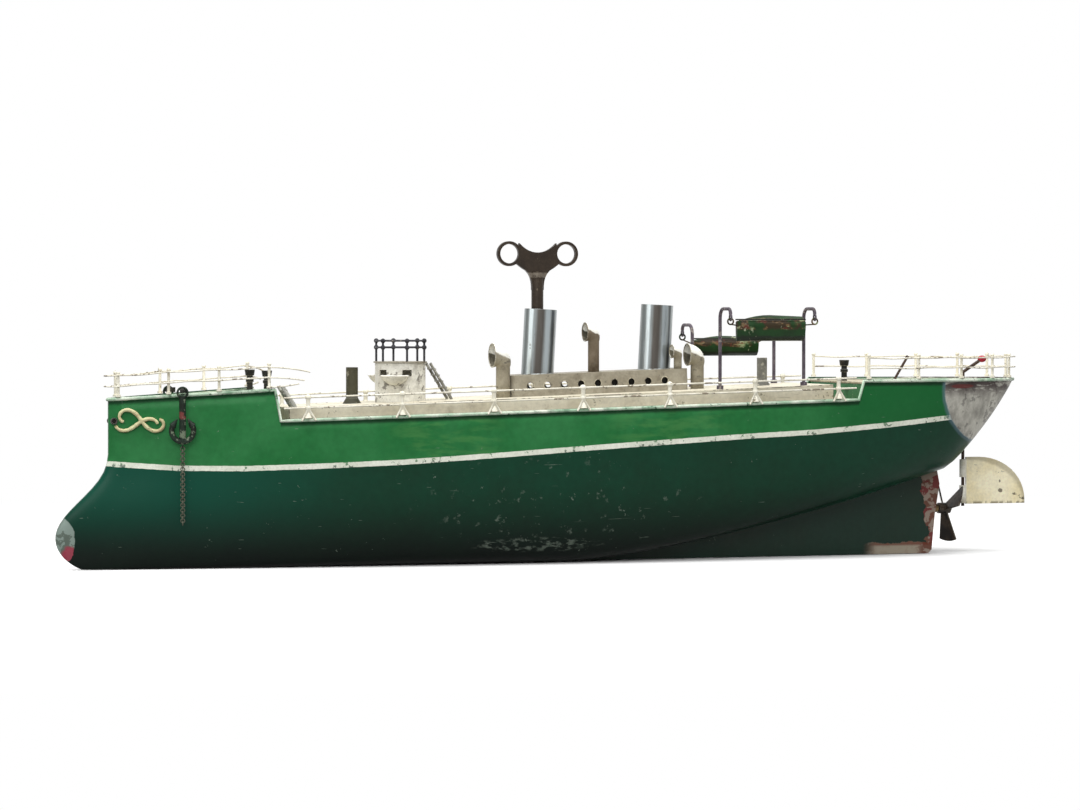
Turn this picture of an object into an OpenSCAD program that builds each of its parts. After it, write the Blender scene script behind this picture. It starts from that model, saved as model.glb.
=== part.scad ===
// Wind-up toy steamship of painted tinplate: ram-bow hull, raised deck trunk, two open funnels,
// clockwork wound through the fore funnel, three-bladed propeller and a hinged rudder.
// Bow is -X, stern +X, port side -Y. The keel stands on z = 0 and the hull is centred on y = 0.

/* [Hull] */
// Length of the rim from bow tip to stern
hull_length = 515; // [500:1:530]
// Beam over the rim beads
hull_beam = 88; // [80:1:96]
// How far the middle of the rim lies aft of the reference point
hull_offset = 9.5; // [0:0.5:20]
// Thickness of the pressed tin sheet
sheet = 1; // [0.8:0.1:1.3]
// How far the rolled rim stands out
bead = 0.8; // [0.5:0.1:1.2]
// Height of the rolled rim
bead_h = 2.2; // [1.6:0.1:3]
// Height of the rim at the bow tip
bow_rim_h = 89.6; // [84:0.2:90]
// Height of the rim at the forecastle step
step_rim_h = 94.5; // [92:0.5:98]
// Height of the well's line at its fore end, a little below the rim there
well_fore_h = 76.3; // [73:0.1:79]
// Height of the well's line and of the rim at its aft end
well_aft_h = 87.5; // [84:0.5:90]
// Height of the poop rim
poop_rim_h = 97.7; // [95:0.1:101]
// Length of the forecastle
forecastle_len = 84; // [76:1:92]
// Length of the poop
poop_len = 105.5; // [96:0.5:116]
// How far the ram stands ahead of the rim
ram_reach = 28.5; // [18:0.1:34]
// Height of the tip of the ram
ram_h = 16.4; // [13:0.2:20]
// Half width of the flat keel strip
keel_flat = 7; // [5:0.5:9]
// Length of the overhanging counter
counter_len = 45.5; // [40:0.5:54]
// Height of the hull bottom where the counter begins
counter_h = 47; // [44:0.5:50]
// Thickness of the keel fin
fin_t = 6; // [5.6:0.2:8]

/* [Decks] */
// Depth of the decks below the rim
deck_drop = 1.5; // [1:0.1:3]
// Height of the deck trunk above the well rim
trunk_h = 7.8; // [6:0.2:9]
// Distance of the trunk's sides from the hull wall
trunk_inset = 6; // [5:0.5:9]
// Length of the deckhouse
house_l = 101; // [96:1:108]
// Half width of the deckhouse
house_w = 14; // [12.5:0.5:16]
// Height of the deckhouse
house_h = 11.5; // [10:0.5:14]
// Portholes on each side of the deckhouse
portholes = 9; // [5:1:9]
// Porthole radius
porthole_r = 1.9; // [1.4:0.05:2.2]

/* [Funnels and vents] */
// Outer radius of a funnel
funnel_r = 8.75; // [8.4:0.05:9.5]
// Height of a funnel above the deckhouse
funnel_h = 35; // [30:0.5:40]
// Distance between the funnels
funnel_pitch = 66.7; // [62:0.1:68]
// Rake of the funnels in degrees
rake = 3.2; // [0:0.2:5]
// Outer radius of the largest ventilator
cowl_r = 3.8; // [3.4:0.1:4.2]

/* [Bridge] */
// Radius of the bridge tower
tower_r = 13.5; // [12:0.5:15]
// Height of the bridge platform
bridge_h = 108; // [104:0.5:112]
// Height of the bridge railing
bridge_rail_h = 11; // [8:0.5:14]

/* [Rails] */
// Height of the well rail
well_rail_h = 11; // [9:0.5:13]
// Height of the forecastle and poop rails
end_rail_h = 12; // [10:0.5:14]
// Radius of the rail wires
wire_r = 0.5; // [0.4:0.05:0.6]

/* [Masts, davits and boats] */
// Bore radius of the fore mast socket
fore_socket_r = 2.5; // [2.2:0.1:2.7]
// Bore radius of the aft mast socket
aft_socket_r = 2.1; // [1.8:0.1:2.3]
// Distance between the two davits of a boat
davit_pitch = 48.5; // [46:0.5:52]
// Height of the davit arms
davit_h = 136; // [132:0.5:140]
// Radius of the davit rod
davit_r = 0.95; // [0.8:0.05:1.2]
// Length of a boat
boat_l = 38.5; // [34:0.5:41]
// Beam of a boat
boat_b = 13; // [10:0.5:15]
// Depth of a boat
boat_h = 10; // [8.5:0.5:12]
// How far the starboard davits are lower than the port ones
davit_drop = 9; // [0:0.5:10]
// How far the starboard davits stand aft of the port ones
davit_shift = 6; // [0:0.5:8]

/* [Rudder and propeller] */
// Height of the propeller shaft
shaft_h = 24.8; // [22.5:0.1:26]
// Radius of the propeller shaft
shaft_r = 1.2; // [1:0.05:1.4]
// Radius of the propeller
prop_r = 19; // [16:0.5:21]
// Length of the rudder blade behind its stock
rudder_l = 37.6; // [32:0.2:42]
// Depth of the rudder blade
rudder_d = 26.2; // [22:0.2:28]

/* [Clockwork] */
// Outer width of the key
key_w = 45.6; // [41:0.2:48]
// Height of the top of the key
key_h = 172.4; // [168:0.2:180]
// Height of the top face of the bottom plate
plate_h = 33.2; // [32.8:0.1:34.5]
// Distance between the two plates
plate_gap = 24.8; // [24:0.1:28]
// Turns of the mainspring
spring_turns = 9; // [6:1:11]

/* [Hidden] */
$fn = 32;

// Clearances: between soldered sheets, between seated pieces, and of a turning fit
seam = 0.03;
seat = 0.1;
run = 0.08;
free = 0.3;

// Stations along the hull
bow_x = hull_offset - hull_length / 2;
stern_x = hull_offset + hull_length / 2;
beam_x = hull_offset + 10;
step_run = 3;
fc_x = bow_x + forecastle_len;
well_x0 = fc_x + step_run;
poop_x = stern_x - poop_len;
well_x1 = poop_x - step_run;
counter_x = stern_x - counter_len;
half_beam = hull_beam / 2 - bead;
stem_r = 1.6;
stem_fade = 95;
ram_top = 46;
sheer_bulge = 0.8;
sheer_lift = 2;
stern_cut = 1.6;

function lerp(a, b, t) = a + (b - a) * t;
function clamp01(t) = max(0, min(1, t));
function reverse(v) = [for (i = [len(v) - 1:-1:0]) v[i]];

// Straight line that the well deck follows, and the rim heights
function well_line(x) = lerp(well_fore_h, well_aft_h, (x - well_x0) / (well_x1 - well_x0));
function well_t(x) = clamp01((x - well_x0) / (well_x1 - well_x0));
function fc_line(x) = lerp(bow_rim_h, step_rim_h, (x - bow_x) / forecastle_len);
function rim_z(x) =
    x <= fc_x ? fc_line(x)
    : x < well_x0 ? lerp(step_rim_h, well_fore_h + sheer_lift, (x - fc_x) / step_run)
    : x <= well_x1 ? let(t = well_t(x))
        well_line(x) + 4 * sheer_bulge * t * (1 - t) + sheer_lift * pow(1 - t, 2)
    : x < poop_x ? lerp(well_aft_h, poop_rim_h, (x - well_x1) / step_run)
    : poop_rim_h;
function sheer_top(x) = x < poop_x ? max(step_rim_h, poop_rim_h) : poop_rim_h;

// Bottom of the hull: flat, then rising over the fin, then the counter
function keel_z(x) =
    x <= 0 ? 0
    : x <= counter_x ? counter_h * pow(x / counter_x, 1.45)
    : counter_h + (poop_rim_h - counter_h) * pow((x - counter_x) / counter_len, 1.22);

// Half breadth at the rim, with a rounded stem
function entry(x) = half_beam * (1 - pow((beam_x - x) / (beam_x - bow_x), 2.2));
function stem_round(s) = 2 * stem_r * s / (1 + pow(s / 8, 2));
function plan(x) =
    x < beam_x ? sqrt(pow(entry(x), 2) + stem_round(max(0, x - bow_x)))
    : half_beam * sqrt(max(0, 1 - pow((x - beam_x) / (stern_x - beam_x), 4)));
function fullness(x) =
    lerp(x < beam_x ? 2.3 : 1.85, 2.9, clamp01(1 - pow((x - beam_x) / (hull_length / 2), 2)));
function section(t, n) = pow(max(0, 1 - pow(1 - clamp01(t), n)), 1 / n);
function flat_w(x) = min(keel_flat, plan(x) * 0.32);

// Half breadth of the outer skin and of the inner face at a height
function half_out(x, z) =
    flat_w(x) + (plan(x) - flat_w(x)) * section((z - keel_z(x)) / (sheer_top(x) - keel_z(x)), fullness(x));
function half_in(x, z) =
    let(p = plan(x) - sheet, f = min(flat_w(x), p), k = keel_z(x) + sheet)
    f + (p - f) * section((z - k) / (sheer_top(x) - k), fullness(x));

// The ram: every waterline starts this far ahead of the rim
function ram_bump(z) =
    z > ram_h ? pow(cos(90 * clamp01((z - ram_h) / ram_top)), 2.6)
    : sqrt(1 - pow((ram_h - z) / (ram_h + 2.6), 2));
function ram_shift(x, z) =
    let(w = clamp01(1 - (x - bow_x) / stem_fade)) -ram_reach * w * w * ram_bump(z);

// One station of a hull half: inner points from keel to rim, then outer points back down
rows = 11;
ring_n = rows + 4;
function row_t(j, n) = 1 - pow(cos(90 * j / (n - 1)), 0.84);
function outer_points(x) =
    let(k = keel_z(x), r = rim_z(x), yr = half_out(x, r), b = min(bead_h, (r - k) / 2))
    concat(
        [[x + ram_shift(x, k), seam, k]],
        [for (j = [0:rows - 1])
            let(z = k + (r - b - k) * row_t(j, rows)) [x + ram_shift(x, z), half_out(x, z), z]],
        [[x + ram_shift(x, r), yr + bead, r - 0.75 * b],
         [x + ram_shift(x, r), yr + bead, r - 0.25 * b],
         [x + ram_shift(x, r), yr, r]]);
function inner_points(x) =
    let(k = keel_z(x), r = rim_z(x), i = min(k + sheet, r - 0.4))
    concat(
        [[x + ram_shift(x, i), seam, i]],
        [for (j = [0:ring_n - 2])
            let(z = i + (r - i) * row_t(j, ring_n - 1), y = half_in(x, z))
            [x + ram_shift(x, z), is_tip(x) ? seam : max(seam, y), z]]);
// The very tips of stem and stern are filled solid
function is_tip(x) = x < bow_x + 4 || x > stern_x - stern_cut - 0.5;
function ring(x) = concat(inner_points(x), reverse(outer_points(x)));

// Stations: close together at the bow and stern, even along the well
bow_steps = 10;
well_steps = 13;
poop_steps = 11;
hull_stations = concat(
    [for (i = [0:bow_steps]) bow_x + 0.4 + (forecastle_len - 0.4) * pow(i / bow_steps, 1.7)],
    [for (i = [0:well_steps]) lerp(well_x0, well_x1, i / well_steps)],
    [for (i = [0:poop_steps]) poop_x + (poop_len - stern_cut) * sin(90 * i / poop_steps)]);

// Skin a row of closed rings, each with n points, with strip caps at both ends
module ring_loft(rings, n) {
    m = len(rings);
    h = n / 2;
    sides = [for (i = [0:m - 2], k = [0:n - 1])
        let(a = i * n + k, b = i * n + (k + 1) % n, c = b + n, d = a + n)
        each [[a, b, c], [a, c, d]]];
    fore_cap = [for (j = [0:h - 2])
        let(a = j, b = j + 1, c = n - 2 - j, d = n - 1 - j) each [[a, c, b], [a, d, c]]];
    aft_cap = [for (j = [0:h - 2])
        let(o = (m - 1) * n, a = o + j, b = o + j + 1, c = o + n - 2 - j, d = o + n - 1 - j)
        each [[a, b, c], [a, c, d]]];
    polyhedron(points = [for (r = rings) each r], faces = concat(sides, fore_cap, aft_cap), convexity = 10);
}

// The same for a row of rings that closes on itself, such as a tube's outside and inside
module loop_loft(rings, n) {
    m = len(rings);
    polyhedron(points = [for (r = rings) each r], convexity = 10,
        faces = [for (i = [0:m - 1], k = [0:n - 1])
            let(j = (i + 1) % m, l = (k + 1) % n)
            each [[i * n + k, i * n + l, j * n + l], [i * n + k, j * n + l, j * n + k]]]);
}

// A round rod between two points, and a wire bent through a list of points
module rod(a, b, r) {
    d = b - a;
    translate(a) rotate([0, acos(d.z / norm(d)), atan2(d.y, d.x)]) cylinder(h = norm(d), r = r, $fn = 20);
}
module wire(points, r) {
    for (i = [0:len(points) - 2]) rod(points[i], points[i + 1], r);
    for (i = [1:len(points) - 2]) translate(points[i]) sphere(r = r * 1.06, $fn = 20);
}
// A smooth tube along a curve whose tangents never follow the up direction
function unit(v) = v / norm(v);
function tangent(p, i) = unit(p[min(i + 1, len(p) - 1)] - p[max(i - 1, 0)]);
module tube(points, r, up = [1, 0, 0], sides = 10) {
    rings = [for (i = [0:len(points) - 1])
        let(t = tangent(points, i), b = unit(cross(t, up)), u = cross(b, t))
        [for (k = [0:sides - 1])
            let(a = 360 * (k + 0.5) / sides) points[i] + r * (cos(a) * b + sin(a) * u)]];
    ring_loft(rings, sides);
}
module both_sides() {
    children();
    mirror([0, 1, 0]) children();
}

// Hull halves
module hull_half() {
    difference() {
        ring_loft([for (x = hull_stations) ring(x)], 2 * ring_n);
        translate([tube_x0, 0, shaft_h]) rotate([0, 90, 0]) cylinder(h = 80, r = tube_r + seat);
        translate([rudder_x, 0, keel_z(rudder_x) - 8]) cylinder(h = 20, r = rudder_tube_r + seat);
    }
}
module hull_port() { color("#1f5a3c") mirror([0, 1, 0]) hull_half(); }
module hull_starboard() { color("#1f5a3c") hull_half(); }

// Keel fin under the rising stern, with the stern tube's bore
heel_x = counter_x - 3.5;
post_x = counter_x + 1.2;
module keel_fin() {
    fin_gap = 0.15;
    top = [for (i = [0:16]) let(x = lerp(6, counter_x - 0.4, i / 16)) [x, keel_z(x) - fin_gap]];
    color("#1c4534") difference() {
        translate([0, fin_t / 2, 0]) rotate([90, 0, 0]) linear_extrude(height = fin_t)
            polygon(concat([[heel_x - 2, 0], [6, 0]], top,
                           [[post_x, 0.82 * counter_h], [counter_x - 1.6, 0.46 * counter_h], [heel_x, 2]]));
        translate([tube_x0, 0, shaft_h]) rotate([0, 90, 0])
            cylinder(h = post_x - tube_x0 + 10, r = tube_r + seam);
    }
}

// A deck plate in its own inclined plane: x0 and x1 are its ends, z0 the height of its top at x0
module deck_plane(x0, z0, slope) {
    translate([x0, 0, z0]) rotate([0, -slope, 0]) children();
}
function outline(x0, x1, n, zf, inset) =
    let(xs = [for (i = [0:n]) lerp(x0, x1, i / n)])
    concat([for (x = xs) [x, half_in(x, zf(x)) - inset]],
           [for (x = reverse(xs)) [x, -half_in(x, zf(x)) + inset]]);
module deck_plate(x0, x1, n, zf, inset, t, slope) {
    pts = outline(x0, x1, n, zf, inset);
    deck_plane(x0, zf(x0), slope) translate([0, 0, -t]) linear_extrude(height = t)
        polygon([for (p = pts) [(p.x - x0) / cos(slope), p.y]]);
}
deck_t = 1;
edge_gap = 0.4;
fc_slope = atan((step_rim_h - bow_rim_h) / forecastle_len);
well_slope = atan((well_aft_h - well_fore_h) / (well_x1 - well_x0));
fc_deck_z = function(x) fc_line(x) - deck_drop;
well_deck_z = function(x) well_line(x) - deck_drop;
poop_deck_z = function(x) poop_rim_h - deck_drop;
trunk_top = function(x) well_line(x) + trunk_h;
fc_deck_x0 = bow_x + 7;
poop_deck_x1 = stern_x - 5;
bulkhead_t = 1;
fc_bulk_x = fc_x - 0.6;
poop_bulk_x = poop_x + 0.6;

module forecastle_deck() {
    color("#cfc9b4") deck_plate(fc_deck_x0, fc_x, 12, fc_deck_z, edge_gap, deck_t, fc_slope);
}
module well_deck() {
    color("#b9a98a") difference() {
        deck_plate(fc_bulk_x + seat, poop_bulk_x - seat, 16, well_deck_z, edge_gap, deck_t, well_slope);
        translate([key_x, 0, well_fore_h - 10]) cylinder(h = 40, r = arbor_hole_r);
    }
}
module poop_deck() {
    xs = [for (i = [0:14]) poop_x + 0.2 + (poop_deck_x1 - poop_x - 0.2) * sin(90 * i / 14)];
    zd = poop_deck_z(0) - deck_t;
    ys = [for (x = xs) half_in(x, zd) - edge_gap];
    color("#cfc9b4") difference() {
        translate([0, 0, zd]) linear_extrude(height = deck_t)
            polygon(concat([for (i = [0:14]) [xs[i], ys[i]]], [for (i = [14:-1:0]) [xs[i], -ys[i]]]));
        translate([rudder_x, 0, zd - 5]) cylinder(h = 10, r = rudder_tube_r + seam);
        translate([lever_x - 0.5, -1.2, zd - 5]) cube([6.5, 2.4, 10]);
    }
}
module bulkhead(x, z0, z1) {
    n = 8;
    zs = [for (i = [0:n]) lerp(z0, z1, i / n)];
    translate([x, 0, 0]) rotate([90, 0, 90]) linear_extrude(height = bulkhead_t)
        polygon(concat([for (z = zs) [half_in(x, z) - edge_gap, z]],
                       [for (z = reverse(zs)) [-half_in(x, z) + edge_gap, z]]));
}
bulkhead_foot = 6;
module forecastle_bulkhead() {
    x = fc_bulk_x - bulkhead_t;
    top = fc_deck_z(x) - deck_t / cos(fc_slope) - seam;
    color("#2b6a45") bulkhead(x, well_line(x) - bulkhead_foot, top);
}
module poop_bulkhead() {
    top = poop_deck_z(0) - deck_t - seam;
    color("#2b6a45") bulkhead(poop_bulk_x, well_line(poop_x) - bulkhead_foot, top);
}

// Raised trunk along the well, a shallow lid on the well deck
trunk_x0 = well_x0 + 6;
trunk_x1 = well_x1 - 12;
fore_socket_x = trunk_x0 + 39.3;
aft_socket_x = trunk_x1 - 28.7;
module deck_trunk() {
    h = trunk_h + deck_drop;
    color("#b7a888") difference() {
        trunk_block(h, trunk_inset, 0, 0);
        trunk_block(h - sheet, trunk_inset + sheet, sheet, -1);
        translate([key_x, 0, well_fore_h]) cylinder(h = 40, r = arbor_hole_r);
    }
}
module trunk_block(h, inset, ends, drop) {
    x0 = trunk_x0 + ends;
    pts = outline(x0, trunk_x1 - ends, 14, well_deck_z, inset);
    deck_plane(x0, well_deck_z(x0) + seam, well_slope) translate([0, 0, drop])
        linear_extrude(height = h - seam - drop)
        polygon([for (p = pts) [(p.x - x0) / cos(well_slope), p.y]]);
}

// Everything that stands on the trunk is cut by its top, or by a plane a height above it
module under_plane() {
    translate([-hull_length, -hull_beam, -2 * hull_beam]) cube([2 * hull_length, 2 * hull_beam, 2 * hull_beam]);
}
module above_trunk(rise = 0) {
    difference() {
        children();
        deck_plane(0, trunk_top(0) + seam + rise, well_slope) under_plane();
    }
}
module rounded_bar(l, w, r, h) {
    linear_extrude(height = h) {
        translate([r, -w]) square([l - 2 * r, 2 * w]);
        translate([0, -w + r]) square([l, 2 * w - 2 * r]);
        for (x = [r, l - r], y = [-w + r, w - r]) translate([x, y]) circle(r = r);
    }
}

// Deckhouse with its portholes, open below
house_x = -30.5;
house_corner = 4;
port_pitch = 9.56;
port_x0 = -20.4;
port_z = 5.6;
module deckhouse() {
    wall = 0.8;
    color("#b3a58c") difference() {
        deck_plane(house_x, trunk_top(house_x) + seam, well_slope)
            rounded_bar(house_l, house_w, house_corner, house_h);
        deck_plane(house_x, trunk_top(house_x), well_slope) translate([wall, 0, -1])
            rounded_bar(house_l - 2 * wall, house_w - wall, house_corner - wall, house_h - wall + 1);
        for (i = [0:portholes - 1])
            translate([port_x0 + port_pitch * i, 30, trunk_top(port_x0 + port_pitch * i) + port_z])
                rotate([90, 0, 0]) cylinder(h = 60, r = porthole_r);
        translate([key_x, 0, trunk_top(key_x)]) cylinder(h = 30, r = arbor_hole_r);
    }
}

// Funnels: plain open tubes, raked aft
function roof_z(x) = trunk_top(x) + house_h / cos(well_slope);
house_roof = function(x) roof_z(x) + seam;
funnel_wall = 0.65;
module funnel(x) {
    color("#aab4bd") above_trunk(house_h + 2 * seam) translate([x, 0, roof_z(x)]) rotate([0, rake, 0])
        translate([0, 0, -3]) difference() {
            cylinder(h = funnel_h + 3, r = funnel_r, $fn = 48);
            translate([0, 0, -1]) cylinder(h = funnel_h + 5, r = funnel_r - funnel_wall, $fn = 48);
        }
}
module fore_funnel() { funnel(key_x); }
module aft_funnel() { funnel(key_x + funnel_pitch); }

// Cowl ventilators: a tube, a bend towards the bow and a flared mouth with a rolled lip
cowl_wall = 0.5;
cowl_sides = 16;
cowl_swell = 0.55;
cowl_gap = 0.1;
cowl_flare = 1.72;
cowl_ahead = 0.5;
function cowl_ring(c, turn, r) = [for (k = [0:cowl_sides - 1])
    let(a = 360 * k / cowl_sides) [c.x + r * cos(a) * cos(turn), -r * sin(a), c.y + r * cos(a) * sin(turn)]];
function cowl_size(turn) = 1 + cowl_swell * turn / 90;
function cowl_at(r, neck, turn, ahead) =
    let(reach = r * (cowl_size(turn) + cowl_gap))
    [-r * (1 + cowl_gap) + reach * cos(turn) - r * ahead * sin(turn), neck + reach * sin(turn)];
module cowl(x, y, base, tall, r) {
    neck = tall - r * (cowl_size(90) + cowl_gap + cowl_flare);
    turns = [0:15:90];
    mouth = cowl_at(r, neck, 90, cowl_ahead);
    foot = function(q) [for (p = cowl_ring([0, 0], 0, q)) [p.x, p.y, base(x + p.x) - base(x) + seam]];
    color("#c9bda0") translate([x, y, base(x)]) loop_loft(concat(
        [foot(r)],
        [for (t = turns) cowl_ring(cowl_at(r, neck, t, 0), t, r * cowl_size(t))],
        [cowl_ring(cowl_at(r, neck, 90, cowl_ahead * 0.7), 90, r * cowl_flare),
         cowl_ring(mouth, 90, r * cowl_flare),
         cowl_ring(mouth, 90, r * cowl_flare - 0.8)],
        [for (t = turns) cowl_ring(cowl_at(r, neck, 90 - t, 0), 90 - t, r * cowl_size(90 - t) - cowl_wall)],
        [foot(r - cowl_wall)]), cowl_sides);
}
fore_vent_x = house_x - 4.4;
aft_vent_x = house_x + house_l + 7.2;
house_vent_x = 18;
small_vent_x = house_x + house_l - 6;
fore_vent_h = 29.2;
house_vent_h = 27;
aft_vent_h = 25;
small_vent_h = 13.4;
module fore_ventilator() { cowl(fore_vent_x, -11, trunk_top, fore_vent_h, cowl_r); }
module house_ventilator() { cowl(house_vent_x, -6, house_roof, house_vent_h, cowl_r * 0.8); }
module aft_ventilator() { cowl(aft_vent_x, -6, trunk_top, aft_vent_h, cowl_r * 0.95); }
module small_ventilator() { cowl(small_vent_x, -11.2, house_roof, small_vent_h, cowl_r * 0.58); }

// Bridge tower: a round house with slots all round and a gun tub on each forward quarter
tower_x = fore_socket_x + 26.7;
tower_top = bridge_h - 0.8;
tub_r = 7.4;
tub_depth = 5;
tub_z = 100.4;
tub_turn = 28;
module slot_ring() {
    for (a = [0, 60, 120, 180]) translate([tower_x, 0, tub_z - 0.2]) rotate([0, 0, -90 - a])
        translate([tower_r - 3, -2.6, 0]) cube([6, 5.2, 3.4]);
}
module gun_tub(r, d) {
    big = (r * r + d * d) / (2 * d);
    translate([0, 0, -d]) rotate_extrude() intersection() {
        translate([0, big]) circle(r = big, $fn = 64);
        square([r, d]);
    }
}
module tub_place(side) {
    translate([tower_x, 0, tub_z]) rotate([0, 0, side * (90 + tub_turn)]) translate([tower_r + 0.6, 0, 0])
        children();
}
module bridge_tower() {
    color("#d8d8cc") difference() {
        union() {
            above_trunk() translate([tower_x, 0, 70]) cylinder(h = tower_top - 70, r = tower_r, $fn = 48);
            for (s = [-1, 1]) tub_place(s) gun_tub(tub_r, tub_depth);
        }
        translate([tower_x, 0, 60]) cylinder(h = tower_top - 60 - 0.8, r = tower_r - 0.8, $fn = 48);
        for (s = [-1, 1]) tub_place(s) translate([0, 0, 0.01]) gun_tub(tub_r - 0.8, tub_depth - 0.8);
        slot_ring();
    }
}
platform_r = tower_r + 0.8;
module bridge_platform() {
    color("#8f9492") difference() {
        translate([tower_x, 0, tower_top + seam]) cylinder(h = 0.8 - seam, r = platform_r, $fn = 48);
        for (a = [30:60:330]) translate(bridge_post(a, -2)) cylinder(h = 6, r = 0.8);
    }
}
function bridge_post(a, h) =
    [tower_x + (platform_r - 1.1) * cos(a), (platform_r - 1.1) * sin(a), bridge_h + h];
bridge_wires = [0.68, 1];
module bridge_railing() {
    color("#33343a") {
        for (a = [30:60:330]) {
            rod(bridge_post(a, -0.7), bridge_post(a, bridge_rail_h), 0.6);
            for (h = bridge_wires) translate(bridge_post(a, bridge_rail_h * h)) sphere(r = 1.3, $fn = 20);
        }
        for (h = bridge_wires) translate([tower_x, 0, bridge_h + bridge_rail_h * h])
            rotate_extrude($fn = 48) translate([platform_r - 1.1, 0]) circle(r = 0.45, $fn = 16);
    }
}

// Ladders: two strings and treads, leaning from a high edge to a deck
module ladder(top, foot, w, treads, string_r) {
    for (s = [-1, 1]) rod(top + [0, s * w / 2, 0], foot + [0, s * w / 2, 0], string_r);
    for (i = [1:treads]) translate(lerp(top, foot, i / (treads + 1)) - [1.4, w / 2, 0.3])
        cube([2.8, w, 0.7]);
}
module bridge_ladder() {
    top = [tower_x + platform_r + 1.2, 0, bridge_h - 1];
    foot = [top.x + 12, 0, trunk_top(top.x + 12)];
    color("#8d9090") above_trunk() ladder(top, foot, 8, 5, 0.8);
}
module forecastle_ladder() {
    top = [fc_x + 4, -20, step_rim_h + 1];
    foot = [fc_x + 11, -20, trunk_top(fc_x + 11)];
    color("#b5b5b0") above_trunk() ladder(top, foot, 8, 4, 1.1);
}

// Mast sockets: stubs of tube that the lost masts stood in
fore_socket_h = 19.3;
aft_socket_h = 15.3;
socket_wall = 0.7;
module mast_socket(x, tall, r) {
    foot = trunk_top(x) + 1;
    top = trunk_top(x) + tall;
    above_trunk() difference() {
        union() {
            translate([x, 0, foot - 4]) cylinder(h = top - foot + 4, r = r + socket_wall);
            translate([x, 0, foot - 2]) cylinder(h = 4, r1 = r + socket_wall + 2.4, r2 = r + socket_wall);
        }
        translate([x, 0, foot + 1]) cylinder(h = top - foot, r = r);
    }
}
module fore_mast_socket() { color("#4a4a3a") mast_socket(fore_socket_x, fore_socket_h, fore_socket_r); }
module aft_mast_socket() { color("#8b8b88") mast_socket(aft_socket_x, aft_socket_h, aft_socket_r); }

// Davits: bent rods that carry the boats outboard, each with an eye at its tip
davit_x = 82;
davit_y = 30;
hook_y = 46;
davit_bend = 5;
hook_bend = 3;
eye_r = 1.6;
eye_wire = 0.5;
link_wire = 0.45;
eye_z = davit_h - hook_bend - eye_r;
swing_z = eye_z - eye_r;
function arc(c, r, a0, a1, n) = [for (i = [0:n]) let(a = lerp(a0, a1, i / n)) c + r * [0, cos(a), sin(a)]];
module davit(x, h) {
    foot = trunk_top(x);
    path = concat(
        [[x, davit_y, foot - 2]],
        reverse(arc([x, davit_y + davit_bend, h - davit_bend], davit_bend, 90, 180, 6)),
        arc([x, hook_y - hook_bend, h - hook_bend], hook_bend, 90, 0, 5));
    tube(path, davit_r, [1, 0, 0], 12);
    translate([x, davit_y, foot - 2]) cylinder(h = 4, r = davit_r + 0.9);
    translate([x, hook_y, h - hook_bend - eye_r]) rotate([0, 90, 0]) rotate_extrude() translate([eye_r, 0])
        circle(r = eye_wire, $fn = 16);
}
module davits() {
    color("#5c5560") above_trunk() for (i = [0, 1]) {
        mirror([0, 1, 0]) davit(davit_x + i * davit_pitch, davit_h);
        davit(davit_x + davit_shift + i * davit_pitch, davit_h - davit_drop);
    }
}

// Well rail: cast stanchions astride the rim, with two wires through their balls
posts = 7;
post_pitch = 48.9;
post_x0 = -147.1;
post_xs = [for (i = [0:posts - 1]) post_x0 + post_pitch * i];
post_r = 1.1;
ball_r = 1.6;
post_lift = 0.15;
leg_r = 0.55;
function on_rim(x, h) = [x, half_out(x, rim_z(x)) - (sheet - bead) / 2, rim_z(x) + h];
module splayed_leg(x, dir) {
    top = on_rim(x, 4.6) + [dir * 0.3, 0.7, 0];
    foot_x = x + dir * 3.6;
    rod(top, [foot_x, half_out(foot_x, rim_z(foot_x)) + bead + free + leg_r, rim_z(foot_x) - 1.2], leg_r);
}
module wire_hole(x, h) {
    way = unit(on_rim(x + 5, 0) - on_rim(x - 5, 0)) * 3;
    rod(on_rim(x, h) - way, on_rim(x, h) + way, wire_r + run);
}
module well_post(x) {
    difference() {
        union() {
            translate(on_rim(x, post_lift)) cylinder(h = 2.6, r1 = 2.3, r2 = post_r + 0.2);
            translate(on_rim(x, post_lift)) cylinder(h = well_rail_h, r = post_r);
            for (h = [0.5, 1]) translate(on_rim(x, well_rail_h * h)) sphere(r = ball_r);
            for (d = [-1, 1]) splayed_leg(x, d);
        }
        for (h = [0.5, 1]) wire_hole(x, well_rail_h * h);
    }
}
module well_wire(h) {
    ends = [well_x0 + 1.5, well_x1 - 1.5];
    tube([for (x = concat([ends[0]], post_xs, [ends[1]])) on_rim(x, h)], wire_r, [0, 0, 1]);
}
module well_stanchions() { color("#e2ddc4") both_sides() for (x = post_xs) well_post(x); }
module well_rail_wires() { color("#cfcab2") both_sides() for (h = [0.5, 1]) well_wire(well_rail_h * h); }

// Forecastle and poop rails: thin posts, and wires outside them run round the bow and the stern
fc_posts = 4;
poop_posts = 5;
end_post_r = 0.75;
end_wire_r = wire_r * 0.8;
rail_steps = 14;
fc_rail_x0 = fc_x - 3;
fc_rail_x1 = bow_x + 5;
poop_rail_x0 = poop_x + 3;
poop_rail_x1 = stern_x - stern_cut - 1.2;
fc_post_xs = [for (i = [0:fc_posts - 1]) lerp(fc_rail_x0, fc_rail_x1, i / (fc_posts - 1))];
poop_post_xs = [for (i = [0:poop_posts - 1]) lerp(poop_rail_x0, poop_rail_x1, sin(90 * i / poop_posts))];
function flip(p) = [p.x, -p.y, p.z];
function beside(x, out) =
    let(d = on_rim(x + 0.3, 0) - on_rim(x - 0.3, 0), n = unit([-d.y, d.x, 0])) on_rim(x, 0) + out * n;
function around(side, tip) = concat(side, tip, [for (p = reverse(side)) flip(p)]);
wire_out = end_post_r + end_wire_r + seat;
bow_end_x = bow_x + 1.2;
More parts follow.
